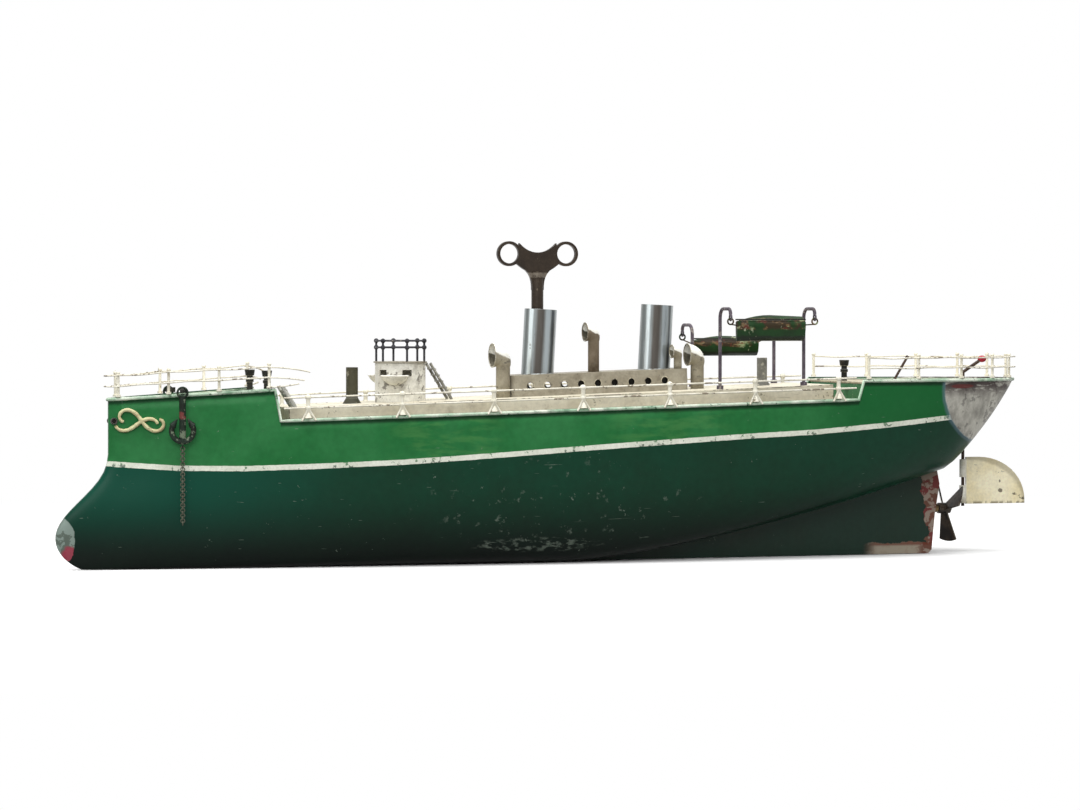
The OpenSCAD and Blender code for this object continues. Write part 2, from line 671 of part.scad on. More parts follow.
fc_line_pts = around(
    [for (i = [0:rail_steps]) beside(lerp(fc_rail_x0, bow_end_x, sin(90 * i / rail_steps)), wire_out)],
    [[bow_end_x - wire_out - 1.6, 0, on_rim(bow_end_x, 0).z]]);
poop_line_pts = around(
    [for (i = [0:rail_steps]) beside(lerp(poop_rail_x0, poop_rail_x1, sin(90 * i / rail_steps)), wire_out)],
    [[poop_rail_x1 + wire_out, 0, poop_rim_h]]);
module end_post(p) {
    translate(p + [0, 0, post_lift]) {
        cylinder(h = 1.2, r = end_post_r + 0.6);
        cylinder(h = end_rail_h, r = end_post_r);
        translate([0, 0, end_rail_h + 0.6]) sphere(r = end_post_r + 0.35);
    }
}
module end_stanchions() {
    color("#ddd8c6") {
        both_sides() for (x = concat(fc_post_xs, poop_post_xs)) end_post(on_rim(x, 0));
        end_post([poop_rail_x1, 0, poop_rim_h]);
    }
}
module end_rail_wires() {
    color("#c8c3b0") for (h = [0.5, 0.95], pts = [fc_line_pts, poop_line_pts])
        tube([for (p = pts) p + [0, 0, end_rail_h * h]], end_wire_r, [0, 0, 1], 8);
}

// Bow scrolls: each an S whose bend changes evenly from one curl to the other
scroll_n = 40;
scroll_wire = 1.15;
function scroll_angle(t, tilt, curl) = tilt + curl * t * t * 4;
function scroll_path(l, tilt, curl, n) =
    [for (i = 0, d = l / n, x = 0, z = 0; i <= n;
          x = x + d * cos(scroll_angle((i + 0.5) / n - 0.5, tilt, curl)),
          z = z + d * sin(scroll_angle((i + 0.5) / n - 0.5, tilt, curl)),
          i = i + 1) [x, z]];
module bow_scroll(at, l, tilt, curl) {
    raw = scroll_path(l, tilt, curl, scroll_n);
    mid = raw[scroll_n / 2];
    tube([for (p = raw) let(x = at[0] + p.x - mid.x, z = at[1] + p.y - mid.y)
        [x, half_out(x, z) + scroll_wire + seat, z]], scroll_wire, [0, 1, 0], 6);
}
module bow_scrolls() {
    color("#d8c88e") both_sides() {
        bow_scroll([bow_x + 16.4, 77.8], 38, -56, 225);
        bow_scroll([bow_x + 14, 75.6], 25, 38, -110);
    }
}

// Hawse pipes: short collars on the bow flanks
hawse_x = bow_x + 2.5;
hawse_z = 77.5;
module hawse_pipes() {
    y0 = half_out(hawse_x + 2, hawse_z) + seat;
    color("#2b2b2b") both_sides() translate([hawse_x, y0, hawse_z]) rotate([-90, 0, 0]) difference() {
        cylinder(h = 1.4, r = 1.8);
        translate([0, 0, -1]) cylinder(h = 4, r = 1.2);
    }
}

// Bollards: turned posts with wide heads, two by the forecastle's step and one by the poop's
bollard_h = 11.5;
bollard_y = 18.5;
module bollard(x, y, z) {
    translate([x, y, z + seam]) {
        cylinder(h = bollard_h, r = 1.6);
        translate([0, 0, bollard_h * 0.42]) cylinder(h = 1.6, r = 2.1);
        translate([0, 0, bollard_h - 3.2]) cylinder(h = 3.2, r1 = 2.3, r2 = 2.8);
    }
}
module bollards() {
    fc_bollard_x = fc_x - 3;
    color("#4a4f50") {
        bollard(poop_x + 5, 0, poop_deck_z(poop_x + 5));
        both_sides() difference() {
            bollard(fc_bollard_x, bollard_y, fc_deck_z(fc_bollard_x) - 0.6);
            deck_plane(fc_x, fc_deck_z(fc_x) + seam, fc_slope) under_plane();
        }
    }
}

// Anchors hang by a ring from a pin on the rim, square to the hull's side
cat_x = bow_x + 37.5;
cat_turn = atan((plan(cat_x + 1) - plan(cat_x - 1)) / 2);
cat_z = rim_z(cat_x) + 1.6;
cat_y = half_out(cat_x, rim_z(cat_x));
pin_r = 0.8;
pin_out = 6.8;
ring_r = 2.6;
ring_wire = 0.6;
ring_drop = ring_r - ring_wire - pin_r - 0.2;
anchor_out = 4.6;
anchor_w = 5.7;
anchor_r = 1.45;
anchor_curl = 35;
fluke = 4.4;
shank = 23;
module cat_frame() {
    translate([cat_x, cat_y, cat_z]) rotate([0, 0, cat_turn]) children();
}
module cat_brackets() {
    color("#3a4036") both_sides() {
        cat_frame() {
            rod([0, -0.6, 0], [0, pin_out, 0], pin_r);
            translate([0, pin_out, 0]) sphere(r = 1.3);
        }
        translate([cat_x - 1.6, cat_y - 1 + bead, cat_z - 1.3]) cube([3.2, 1.8, 2.6]);
    }
}
crown_z = -ring_drop - ring_r - shank;
module anchor() {
    color("#26302a") cat_frame() translate([0, anchor_out, 0]) {
        translate([0, 0, -ring_drop]) rotate([90, 0, 0]) rotate_extrude() translate([ring_r, 0])
            circle(r = ring_wire, $fn = 16);
        rod([0, 0, -ring_drop - ring_r], [0, 0, crown_z], 1.2 * anchor_r);
        translate([0, 0, crown_z + anchor_w]) rotate([90, 0, 0]) rotate([0, 0, 180 - anchor_curl])
            rotate_extrude(angle = 180 + 2 * anchor_curl) translate([anchor_w, 0])
            circle(r = anchor_r, $fn = 20);
        for (s = [-1, 1]) translate([0, 0, crown_z + anchor_w]) rotate([0, -s * anchor_curl, 0])
            translate([s * anchor_w, 0, -1]) cylinder(h = fluke, r1 = 1.4 * anchor_r, r2 = 0.3);
        translate([0, 0, crown_eye_z]) rotate([0, 90, 0]) rotate_extrude() translate([crown_eye_r, 0])
            circle(r = chain_wire, $fn = 14);
    }
}
links = 30;
link_r = 1;
chain_wire = 0.3;
link_pitch = 2 * (link_r - chain_wire) - 0.06;
crown_eye_r = 1.15;
crown_eye_z = crown_z - anchor_r - 0.75;
module chain() {
    top = crown_eye_z - crown_eye_r + 2 * chain_wire + 0.08 - link_r;
    color("#4c4a45") cat_frame() translate([0, anchor_out, 0]) for (i = [0:links - 1])
        translate([0, 0, top - link_pitch * i]) rotate([90, 0, 90 * (i % 2)])
            rotate_extrude($fn = 20) translate([link_r, 0]) circle(r = chain_wire, $fn = 14);
}
module anchor_port() { mirror([0, 1, 0]) anchor(); }
module anchor_starboard() { anchor(); }
module chain_port() { mirror([0, 1, 0]) chain(); }
module chain_starboard() { chain(); }

// Ship's boats: closed tin hulls with a peaked cover, hung by rings in the davit eyes
boat_top = swing_z - 1.1;
ring_z = swing_z + eye_wire + link_wire + seat - eye_r;
boat_steps = 10;
function boat_half(s) = boat_b / 2 * pow(1 - pow(1 - s, 2.4), 0.62) * (1 - 0.18 * pow(s, 4));
function boat_peak(s) = boat_h * (0.05 + 0.35 * sin(90 * clamp01(2 * s)) - 0.08 * max(0, 2 * s - 1));
function boat_ring(s) =
    let(w = 0.35 + boat_half(s), x = boat_l * (s - 0.5), c = boat_peak(s))
    let(side = [[seam, 0], [0.5 * w, 0.04 * boat_h], [0.86 * w, 0.3 * boat_h], [w, 0.75 * boat_h],
                [w, boat_h], [0.45 * w, boat_h + 0.7 * c], [seam, boat_h + c]])
    concat([for (p = side) [x, -p.x, p.y]], [for (p = reverse(side)) [x, p.x, p.y]]);
fall_r = 0.36;
module boat(ahead, squat) {
    boat_x = davit_x + davit_pitch / 2;
    low = boat_h * (1 - squat);
    color("#3c5a36") translate([boat_x - ahead, hook_y, boat_top - boat_h]) scale([1, 1, squat])
        ring_loft([for (i = [0:boat_steps]) boat_ring(0.02 + 0.98 * i / boat_steps)], 14);
    color("#5c5560") for (s = [-1, 1]) {
        x = boat_x + s * davit_pitch / 2;
        translate([x, hook_y, ring_z]) rotate([90, 0, 0]) rotate_extrude() translate([eye_r, 0])
            circle(r = link_wire, $fn = 16);
        rod([x - s * 0.3, hook_y, ring_z - eye_r],
            [boat_x - ahead + s * (boat_l / 2 - 1.5), hook_y, boat_top - low - 1.6], fall_r);
    }
}
module boat_port() { mirror([0, 1, 0]) boat(2.4, 1); }
module boat_starboard() { translate([davit_shift, 0, -davit_drop]) boat(0, 0.8); }

// Rudder: sheet blade clasped on a wire stock that bends over into the tiller
rudder_x = stern_x - 28.9;
stock_r = 0.9;
rudder_tube_r = 2;
rudder_z = 27;
tiller_z = poop_rim_h + 3;
tiller_run = [11.5, 0, 7.3];
sleeve_r = 1.9;
blade_t = 0.9;
module rudder_blade() {
    fore = sleeve_r - 0.4;
    arc_x = fore + 8;
    color("#e6dcb4") difference() {
        union() {
            translate([rudder_x, blade_t / 2, rudder_z]) rotate([90, 0, 0]) linear_extrude(height = blade_t)
                polygon(concat([[fore, 0], [rudder_l, 0]],
                    [for (a = [0:7.5:90])
                        [arc_x + (rudder_l - arc_x) * cos(a), 2 + (rudder_d - 2) * sin(a)]],
                    [[fore, rudder_d]]));
            for (z = [0.4, rudder_d * 0.57]) translate([rudder_x, 0, rudder_z + z])
                cylinder(h = rudder_d * 0.38, r = sleeve_r);
        }
        translate([rudder_x, 0, rudder_z - 5]) cylinder(h = rudder_d + 10, r = stock_r + seam);
    }
}
module rudder_stock() {
    bend = [rudder_x, 0, tiller_z];
    color("#3a2a28") wire([[rudder_x, 0, rudder_z - 1.2], bend, bend + tiller_run], stock_r);
}
module tiller_knob() {
    tip = [rudder_x, 0, tiller_z] + tiller_run;
    color("#b02a34") difference() {
        translate(tip) scale([1.35, 1, 1]) sphere(r = 1.9);
        rod(tip - tiller_run, tip, stock_r + seam);
    }
}
module rudder_tube() {
    z0 = keel_z(rudder_x) - 1;
    z1 = poop_deck_z(0) + 0.6;
    color("#7a7d78") translate([rudder_x, 0, z0]) difference() {
        cylinder(h = z1 - z0, r = rudder_tube_r);
        translate([0, 0, -1]) cylinder(h = z1 - z0 + 2, r = stock_r + run);
    }
}

// Brake lever on the poop, pivoted in a bracket under the deck
lever_x = 194;
lever_z = poop_rim_h - 5.2;
lever_tip = [10.2, 0, 16.5];
lever_r = 0.7;
module brake_lever() {
    pivot = [lever_x, 0, lever_z];
    color("#3b2d2c") difference() {
        union() {
            rod(pivot, pivot + lever_tip, lever_r);
            translate(pivot - [0, 1, 0]) rotate([-90, 0, 0]) cylinder(h = 2, r = 1.7);
            translate(pivot + lever_tip) sphere(r = 1.1);
        }
        translate(pivot - [0, 3, 0]) rotate([-90, 0, 0]) cylinder(h = 6, r = 0.6 + run);
    }
}
module lever_bracket() {
    top = poop_deck_z(0) - deck_t - seam;
    color("#8a8d88") {
        for (s = [-1, 1]) translate([lever_x - 2, s * 1.7 - 0.5, lever_z - 1.8])
            cube([4, 1, top - lever_z + 1.8]);
        translate([lever_x, -2, lever_z]) rotate([-90, 0, 0]) cylinder(h = 4, r = 0.6);
    }
}

// Propeller: three fans of tin, twisted and raked aft, on one hub
prop_x = counter_x + 5;
hub_r = 3;
hub_l = 7;
blade_pitch = 22;
blade_rake = 11;
blade_sheet = 0.8;
blade_half = 20;
module prop_blade() {
    fan = [for (a = [-blade_half:5:blade_half]) prop_r * [sin(a), cos(a)]];
    rotate([0, blade_rake, 0]) rotate([0, 0, 90 - blade_pitch]) translate([0, blade_sheet / 2, 0])
        rotate([90, 0, 0]) linear_extrude(height = blade_sheet) polygon(concat([[-2.2, 1.5]], fan, [[2.2, 1.5]]));
}
module propeller() {
    color("#2c241e") translate([prop_x, 0, shaft_h]) difference() {
        union() {
            rotate([0, 90, 0]) translate([0, 0, -hub_l / 2]) cylinder(h = hub_l, r = hub_r);
            for (a = [65:120:305]) rotate([a, 0, 0]) prop_blade();
        }
        rotate([0, 90, 0]) translate([0, 0, -5]) cylinder(h = 10, r = shaft_r + seam);
    }
}
tube_r = 2.2;
tube_x0 = 112;
tube_x1 = prop_x - hub_l / 2 - free;
module stern_tube() {
    color("#8a7a52") translate([tube_x0, 0, shaft_h]) rotate([0, 90, 0]) difference() {
        cylinder(h = tube_x1 - tube_x0, r = tube_r);
        translate([0, 0, -1]) cylinder(h = tube_x1 - tube_x0 + 2, r = shaft_r + run);
    }
}

// Gear teeth: straight flanks through three widths, given as shares of the pitch angle
module gear(n, m, h, bore, tooth = 0.22, tip = 0.09, root = 0.26, up = 0.85, down = 1.1) {
    p = 360 / n;
    r = n * m / 2;
    one = [[r - down * m, -root], [r, -tooth], [r + up * m, -tip],
           [r + up * m, tip], [r, tooth], [r - down * m, root]];
    linear_extrude(height = h) difference() {
        polygon([for (i = [0:n - 1], q = one) q[0] * [cos(p * (i + q[1])), sin(p * (i + q[1]))]]);
        if (bore > 0) circle(r = bore);
    }
}

// Clockwork: levels above the bottom plate's top face
key_x = -12;
plate_t = 1.2;
plate_x0 = key_x - 28;
bearer_run = 64;
bearer_x = key_x + bearer_run;
plate_x1 = bearer_x + 6;
plate_w = 24;
top_plate_z = plate_h + plate_gap;
great_n = 40;
second_pinion_n = 10;
second_n = 36;
contrate_pinion_n = 9;
contrate_n = 32;
shaft_pinion_n = 8;
great_m = 1;
second_m = 0.8;
arbor_play = 0.1;
second_x = key_x + great_m * (great_n + second_pinion_n) / 2 + arbor_play;
contrate_x = second_x + second_m * (second_n + contrate_pinion_n) / 2 + arbor_play;
contrate_r = 13;
contrate_m = 2 * contrate_r / contrate_n;
arbor_r = 2.4;
pivot_r = 0.9;
square_w = 2.8;
square_h = 21;
arbor_top_r = 2;
arbor_hole_r = 3;
pillar_xs = [key_x - 24, bearer_x - 2];
pillar_y = 18;
pillar_r = 2;
screw_r = 0.9;
screw_l = 5;
great_z = plate_h + 1.6;
ratchet_z = plate_h + 3.3;
second_z = plate_h + 5.6;
spring_z = plate_h + 8;
spring_post_r = 1.2;
spring_outer = 19;
spring_inner = 3.3;
spring_t = 0.5;

module plate(z, pillar_hole) {
    translate([plate_x0, 0, z]) difference() {
        rounded_bar(plate_x1 - plate_x0, plate_w, 5, plate_t);
        translate([-plate_x0, 0, -1]) {
            for (x = pillar_xs, y = [-pillar_y, pillar_y]) translate([x, y, 0])
                cylinder(h = 4, r = pillar_hole);
            for (x = [second_x, contrate_x]) translate([x, 0, 0]) cylinder(h = 4, r = pivot_r + run);
            translate([key_x, 0, 0]) cylinder(h = 4, r = (z > plate_h ? arbor_top_r : 1.5) + run);
        }
    }
}
module bottom_plate() { color("#b59a55") plate(plate_h - plate_t, 1.2 + seam); }
module top_plate() { color("#b59a55") plate(top_plate_z, screw_r + 0.1); }
module plate_pillars() {
    color("#9a8a60") {
        for (x = pillar_xs, y = [-pillar_y, pillar_y]) translate([x, y, plate_h]) difference() {
            union() {
                translate([0, 0, seam]) cylinder(h = plate_gap - 2 * seam, r = pillar_r);
                translate([0, 0, -plate_t]) cylinder(h = plate_t + 1, r = 1.2);
            }
            translate([0, 0, plate_gap - screw_l - 1]) cylinder(h = screw_l + 2, r = screw_r + seam);
        }
        translate([key_x, spring_outer + spring_post_r + 0.3, spring_z - 0.5])
            cylinder(h = top_plate_z - spring_z + 0.5 - seam, r = spring_post_r);
    }
}
module plate_screws() {
    head_z = top_plate_z + plate_t + seam;
    color("#8f8f92") for (x = pillar_xs, y = [-pillar_y, pillar_y]) translate([x, y, head_z])
        difference() {
            union() {
                cylinder(h = 1.2, r = 2.1);
                translate([0, 0, -plate_t - screw_l]) cylinder(h = plate_t + screw_l + 0.5, r = screw_r);
            }
            translate([-3, -0.3, 0.6]) cube([6, 0.6, 2]);
        }
}
function inner_z(x, j) = let(k = keel_z(x) + sheet) k + (rim_z(x) - k) * row_t(j, ring_n - 1);
module bearer(x) {
    gap = edge_gap + 0.05;
    top = plate_h - plate_t - seam;
    side = concat(
        [for (j = [0:ring_n - 2]) let(z = inner_z(x, j)) if (z < top - 1) [half_in(x, z) - gap, z + gap]],
        [[half_in(x, top) - gap, top]]);
    translate([x, 0, 0]) rotate([90, 0, 90]) linear_extrude(height = 1.5)
        polygon(concat(side, [for (p = reverse(side)) [-p.x, p.y]]));
}
module clockwork_bearers() {
    color("#8d8d86") {
        bearer(plate_x0 + 4);
        difference() {
            bearer(bearer_x);
            translate([bearer_x - 2, 0, shaft_h]) rotate([0, 90, 0]) cylinder(h = 6, r = shaft_r + run);
        }
    }
}

// Mainspring: a flat spiral from the arbor to its post on the top plate
module mainspring() {
    n = spring_turns * 20;
    h = plate_gap - 12;
    pitch = (spring_outer - spring_t - spring_inner) / n;
    edge = function(i, o) (spring_inner + pitch * i + o) * [cos(90 + 18 * (i - n)), sin(90 + 18 * (i - n))];
    color("#4f5a6a") translate([key_x, 0, spring_z]) linear_extrude(height = h)
        polygon(concat([for (i = [0:n]) edge(i, 0)], [for (i = [n:-1:0]) edge(i, spring_t)]));
}
module winding_arbor() {
    roof = roof_z(key_x);
    color("#9b9ba0") translate([key_x, 0, 0]) {
        translate([0, 0, plate_h - plate_t - 0.6]) cylinder(h = plate_t + 1, r = 1.5);
        translate([0, 0, plate_h + 0.3]) cylinder(h = plate_gap - 0.6, r = arbor_r);
        translate([0, 0, plate_h + 0.3]) cylinder(h = 1, r = 3.6);
        translate([0, 0, top_plate_z - 0.8]) cylinder(h = roof + 3.8 - top_plate_z, r = arbor_top_r);
        translate([-square_w / 2, -square_w / 2, roof + 2]) cube([square_w, square_w, square_h]);
        translate([0, 0, ratchet_z]) ratchet();
    }
}
ratchet_r = 6;
module ratchet() {
    n = 12;
    linear_extrude(height = 1.3) polygon([for (i = [0:n - 1], q = [[ratchet_r, 0], [ratchet_r - 1.4, 0.08]])
        q[0] * [cos(360 / n * (i + q[1])), sin(360 / n * (i + q[1]))]]);
}
module great_wheel() {
    color("#c0a050") translate([key_x, 0, great_z]) {
        difference() {
            gear(great_n, great_m, 1.4, arbor_r + run);
            translate([-10.5, 0, -1]) cylinder(h = 4, r = 0.8 + seam);
        }
    }
}
module click() {
    z = great_z + 1.4 + seam;
    tip = ratchet_r + 0.25;
    color("#8f8f92") translate([key_x, 0, 0]) {
        translate([-10.5, 0, great_z - 0.1]) cylinder(h = 1.5, r = 0.8);
        translate([0, 0, z]) linear_extrude(height = 1.6) {
            translate([-10.5, 0]) circle(r = 1.6);
            polygon([[-10.5, 1.6], [-10.5, -1.6], [-9, -3.4], [-tip * cos(25) - 0.2, -tip * sin(25) - 0.4],
                     [-tip * cos(25), -tip * sin(25)]]);
        }
    }
}
module second_wheel() {
    color("#b8985a") translate([second_x, 0, 0]) {
        arbor_with_pivots(1.3);
        translate([0, 0, great_z - 0.5]) rotate([0, 0, 180 / second_pinion_n])
            gear(second_pinion_n, great_m, 2.4, 0, 0.21, 0.08, 0.2);
        translate([0, 0, second_z]) gear(second_n, second_m, 1.2, 0);
    }
}
module arbor_with_pivots(r) {
    translate([0, 0, plate_h - plate_t - 0.4]) cylinder(h = plate_gap + 2 * plate_t + 0.8, r = pivot_r);
    translate([0, 0, plate_h + 0.3]) cylinder(h = plate_gap - 0.6, r = r);
}
crown_root_z = shaft_h + shaft_pinion_n * contrate_m / 2 + 1.1 * contrate_m;
module contrate_wheel() {
    tooth_h = 1.95 * contrate_m;
    pitch = 2 * PI * contrate_r / contrate_n;
    color("#b8985a") translate([contrate_x, 0, 0]) {
        arbor_with_pivots(1.3);
        translate([0, 0, second_z - 0.6]) gear(contrate_pinion_n, second_m, 2.4, 0, 0.21, 0.08, 0.2);
        translate([0, 0, crown_root_z]) cylinder(h = 1.2, r = contrate_r + 1);
        translate([0, 0, crown_root_z]) cylinder(h = plate_h - plate_t - 0.3 - crown_root_z, r = 2.4);
        for (i = [0:contrate_n - 1])
            rotate([0, 0, 360 / contrate_n * i]) translate([contrate_r - 1, 0, crown_root_z])
            rotate([90, 0, 90]) linear_extrude(height = 2)
                polygon([[-0.25 * pitch, 0.1], [-0.21 * pitch, -1.1 * contrate_m], [-0.09 * pitch, -tooth_h],
                         [0.09 * pitch, -tooth_h], [0.21 * pitch, -1.1 * contrate_m], [0.25 * pitch, 0.1]]);
    }
}
module propeller_shaft() {
    pinion_x = contrate_x + contrate_r;
    color("#9b9ba0") {
        translate([pinion_x - 3, 0, shaft_h]) rotate([0, 90, 0])
            cylinder(h = prop_x + 4.6 - pinion_x + 3, r = shaft_r);
        translate([pinion_x - 1.4, 0, shaft_h]) rotate([0, 90, 0]) rotate([0, 0, 22.5])
            gear(shaft_pinion_n, contrate_m, 2.8, 0, 0.2, 0.08, 0.19);
        for (x = [bearer_x - 1.6, bearer_x + 1.8]) translate([x, 0, shaft_h]) rotate([0, 90, 0])
            cylinder(h = 1.3, r = 2.2);
    }
}

// Winding key: a pressed plate with two finger rings on a socket tube
key_ring_x = key_w / 2 - 6.7;
key_ring_r = 6.7;
key_hole_r = 5.2;
key_t = 2.6;
key_ring_z = key_h - key_ring_r;
key_stem_r = 3.25;
key_neck = 10.4;
// One side of the bow's plate from the middle of its top edge to the stem, about the rings' centres
key_side = concat(
    [for (i = [0:6]) let(x = 0.65 * key_ring_x * i / 6) [x, 0.7 + 5 * pow(i / 6, 2.2)]],
    [[0.75 * key_ring_x, -5.4]],
    [for (i = [0:6]) let(t = i / 6) [key_stem_r + 5.6 * pow(1 - t, 2.6), -7.8 - 11.7 * pow(t, 1.25)]]);
module winding_key() {
    foot = roof_z(key_x) + 3.3;
    color("#33291f") translate([key_x, 0, 0]) difference() {
        union() {
            translate([0, key_t / 2, 0]) rotate([90, 0, 0]) linear_extrude(height = key_t) difference() {
                union() {
                    for (s = [-1, 1]) translate([s * key_ring_x, key_ring_z])
                        circle(r = key_ring_r, $fn = 48);
                    translate([0, key_ring_z]) polygon(concat(key_side,
                        [for (i = [len(key_side) - 1:-1:1]) [-key_side[i].x, key_side[i].y]]));
                }
                for (s = [-1, 1]) translate([s * key_ring_x, key_ring_z]) circle(r = key_hole_r, $fn = 48);
            }
            translate([0, 0, foot]) cylinder(h = key_ring_z - key_neck - foot, r = key_stem_r);
            translate([0, 0, key_ring_z - key_neck - 2.8]) cylinder(h = 3.4, r = key_stem_r + 0.5);
        }
        translate([-square_w / 2 - run, -square_w / 2 - run, foot - 1])
            cube([square_w + 2 * run, square_w + 2 * run, square_h + 3]);
    }
}

hull_port();
hull_starboard();
keel_fin();
forecastle_deck();
well_deck();
poop_deck();
forecastle_bulkhead();
poop_bulkhead();
deck_trunk();
deckhouse();
fore_funnel();
aft_funnel();
fore_ventilator();
house_ventilator();
aft_ventilator();
small_ventilator();
bridge_tower();
bridge_platform();
bridge_railing();
bridge_ladder();
forecastle_ladder();
fore_mast_socket();
aft_mast_socket();
davits();
well_stanchions();
well_rail_wires();
end_stanchions();
end_rail_wires();
bow_scrolls();
hawse_pipes();
bollards();
cat_brackets();
anchor_port();
anchor_starboard();
chain_port();
chain_starboard();
boat_port();
boat_starboard();
rudder_blade();
rudder_stock();
tiller_knob();
rudder_tube();
brake_lever();
lever_bracket();
propeller();
propeller_shaft();
stern_tube();
clockwork_bearers();
bottom_plate();
top_plate();
plate_pillars();
plate_screws();
mainspring();
winding_arbor();
great_wheel();
click();
second_wheel();
contrate_wheel();
winding_key();
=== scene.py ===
import math

import bmesh
import bpy
from mathutils import Matrix, Vector


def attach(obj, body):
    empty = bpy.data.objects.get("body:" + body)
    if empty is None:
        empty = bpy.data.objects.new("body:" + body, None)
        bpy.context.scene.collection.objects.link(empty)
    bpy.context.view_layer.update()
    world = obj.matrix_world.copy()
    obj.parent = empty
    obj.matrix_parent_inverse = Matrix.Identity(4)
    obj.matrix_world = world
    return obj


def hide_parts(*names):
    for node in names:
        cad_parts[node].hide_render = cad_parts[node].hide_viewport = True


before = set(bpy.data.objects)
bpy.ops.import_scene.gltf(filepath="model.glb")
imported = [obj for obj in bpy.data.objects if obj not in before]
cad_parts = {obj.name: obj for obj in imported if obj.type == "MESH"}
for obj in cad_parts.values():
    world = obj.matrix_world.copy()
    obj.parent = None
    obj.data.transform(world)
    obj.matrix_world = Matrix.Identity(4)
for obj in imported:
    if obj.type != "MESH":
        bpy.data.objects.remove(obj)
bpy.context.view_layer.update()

# Hull halves. Two pressed tin shells, soldered along the keel and the stem, and enamelled bright
# green above a white line and dark green below it. The enamel has gone from the ram and the counter.
MM = 0.001
BOW_X, STERN_X, BEAM_X = -248.0, 267.0, 19.5
STEP_X, WELL_X0, WELL_X1, POOP_X = -164.0, -161.0, 158.5, 161.5
COUNTER_X, COUNTER_LEN, COUNTER_Z = 221.5, 45.5, 47.0
HALF_BEAM, KEEL_FLAT, FLAT_SHARE, STEM_R, STEM_FADE = 43.2, 7.0, 0.32, 1.6, 8.0
BOW_RIM, STEP_RIM, POOP_RIM = 89.6, 94.5, 97.7
WELL_FORE, WELL_AFT, WELL_BULGE, WELL_LIFT = 76.3, 87.5, 0.8, 2.0
RAM_REACH, RAM_Z, RAM_TOP, RAM_UNDER, RAM_FADE = 28.36, 16.4, 46.0, 2.6, 95.0
KEEL_CURVE, COUNTER_CURVE, ENTRY_CURVE, RUN_CURVE, RAM_CURVE = 1.45, 1.22, 2.2, 4, 2.6
BILGE_FORE, BILGE_AFT, BILGE_MID, BILGE_SPAN = 2.3, 1.85, 2.9, 257.5
SHELL_WALL, SHELL_ROWS, ROW_CURVE, MID_GAP = 1.0, 30, 0.84, 0.03
FOLD_FORE, FOLD_AFT, FOLD_DEPTH = -240.0, 259.0, 0.8


def mix_values(a, b, t):
    return a + (b - a) * t


def limited(t):
    return max(0.0, min(1.0, t))


def well_line(x):
    return mix_values(WELL_FORE, WELL_AFT, (x - WELL_X0) / (WELL_X1 - WELL_X0))


def rim_z(x):
    if x <= STEP_X:
        return mix_values(BOW_RIM, STEP_RIM, (x - BOW_X) / (STEP_X - BOW_X))
    if x < WELL_X0:
        return mix_values(STEP_RIM, WELL_FORE + WELL_LIFT, (x - STEP_X) / (WELL_X0 - STEP_X))
    if x <= WELL_X1:
        t = limited((x - WELL_X0) / (WELL_X1 - WELL_X0))
        return well_line(x) + 4 * WELL_BULGE * t * (1 - t) + WELL_LIFT * (1 - t) ** 2
    if x < POOP_X:
        return mix_values(WELL_AFT, POOP_RIM, (x - WELL_X1) / (POOP_X - WELL_X1))
    return POOP_RIM


def keel_z(x):
    if x <= 0:
        return 0.0
    if x <= COUNTER_X:
        return COUNTER_Z * (x / COUNTER_X) ** KEEL_CURVE
    return COUNTER_Z + (POOP_RIM - COUNTER_Z) * ((x - COUNTER_X) / COUNTER_LEN) ** COUNTER_CURVE


def plan_half(x):
    if x < BEAM_X:
        entry = HALF_BEAM * (1 - ((BEAM_X - x) / (BEAM_X - BOW_X)) ** ENTRY_CURVE)
        s = max(0.0, x - BOW_X)
        return math.sqrt(entry**2 + 2 * STEM_R * s / (1 + (s / STEM_FADE) ** 2))
    return HALF_BEAM * math.sqrt(max(0.0, 1 - ((x - BEAM_X) / (STERN_X - BEAM_X)) ** RUN_CURVE))


def hull_half(x, z):
    ends = BILGE_FORE if x < BEAM_X else BILGE_AFT
    full = mix_values(ends, BILGE_MID, limited(1 - ((x - BEAM_X) / BILGE_SPAN) ** 2))
    flat = min(KEEL_FLAT, plan_half(x) * FLAT_SHARE)
    t = limited((z - keel_z(x)) / max(0.01, POOP_RIM - keel_z(x)))
    return flat + (plan_half(x) - flat) * max(0.0, 1 - (1 - t) ** full) ** (1 / full)


def ram_shift(x, z):
    w = limited(1 - (x - BOW_X) / RAM_FADE)
    if z > RAM_Z:
        swell = max(0.0, math.cos(math.pi / 2 * limited((z - RAM_Z) / RAM_TOP))) ** RAM_CURVE
    else:
        swell = math.sqrt(1 - ((RAM_Z - z) / (RAM_Z + RAM_UNDER)) ** 2)
    return -RAM_REACH * w * w * swell


# Height of the white line's middle at stations along the hull
LINE_POINTS = [(-276, 57.4), (-240, 54.6), (-214, 52.8), (-180, 52.5), (-144, 53.5), (-96, 55.5),
               (-48, 58.6), (0, 61.9), (48, 64.8), (96, 67.6), (132, 69.2), (180, 72.9),
               (215, 76.2), (268, 81.4)]


def line_z(x):
    for (x0, z0), (x1, z1) in zip(LINE_POINTS, LINE_POINTS[1:]):
        if x <= x1:
            return mix_values(z0, z1, limited((x - x0) / (x1 - x0)))
    return LINE_POINTS[-1][1]


def stations(x0, x1, steps, power=1.0):
    return [x0 + (x1 - x0) * (i / steps) ** power for i in range(steps + 1)]


HULL_STATIONS = (
    [BOW_X + 0.4] + stations(BOW_X + 0.45, STEP_X, 26, 1.6) + stations(WELL_X0, WELL_X1, 44)
    + [POOP_X + (STERN_X - 0.25 - POOP_X) * math.sin(math.pi / 2 * i / 26) for i in range(27)]
)


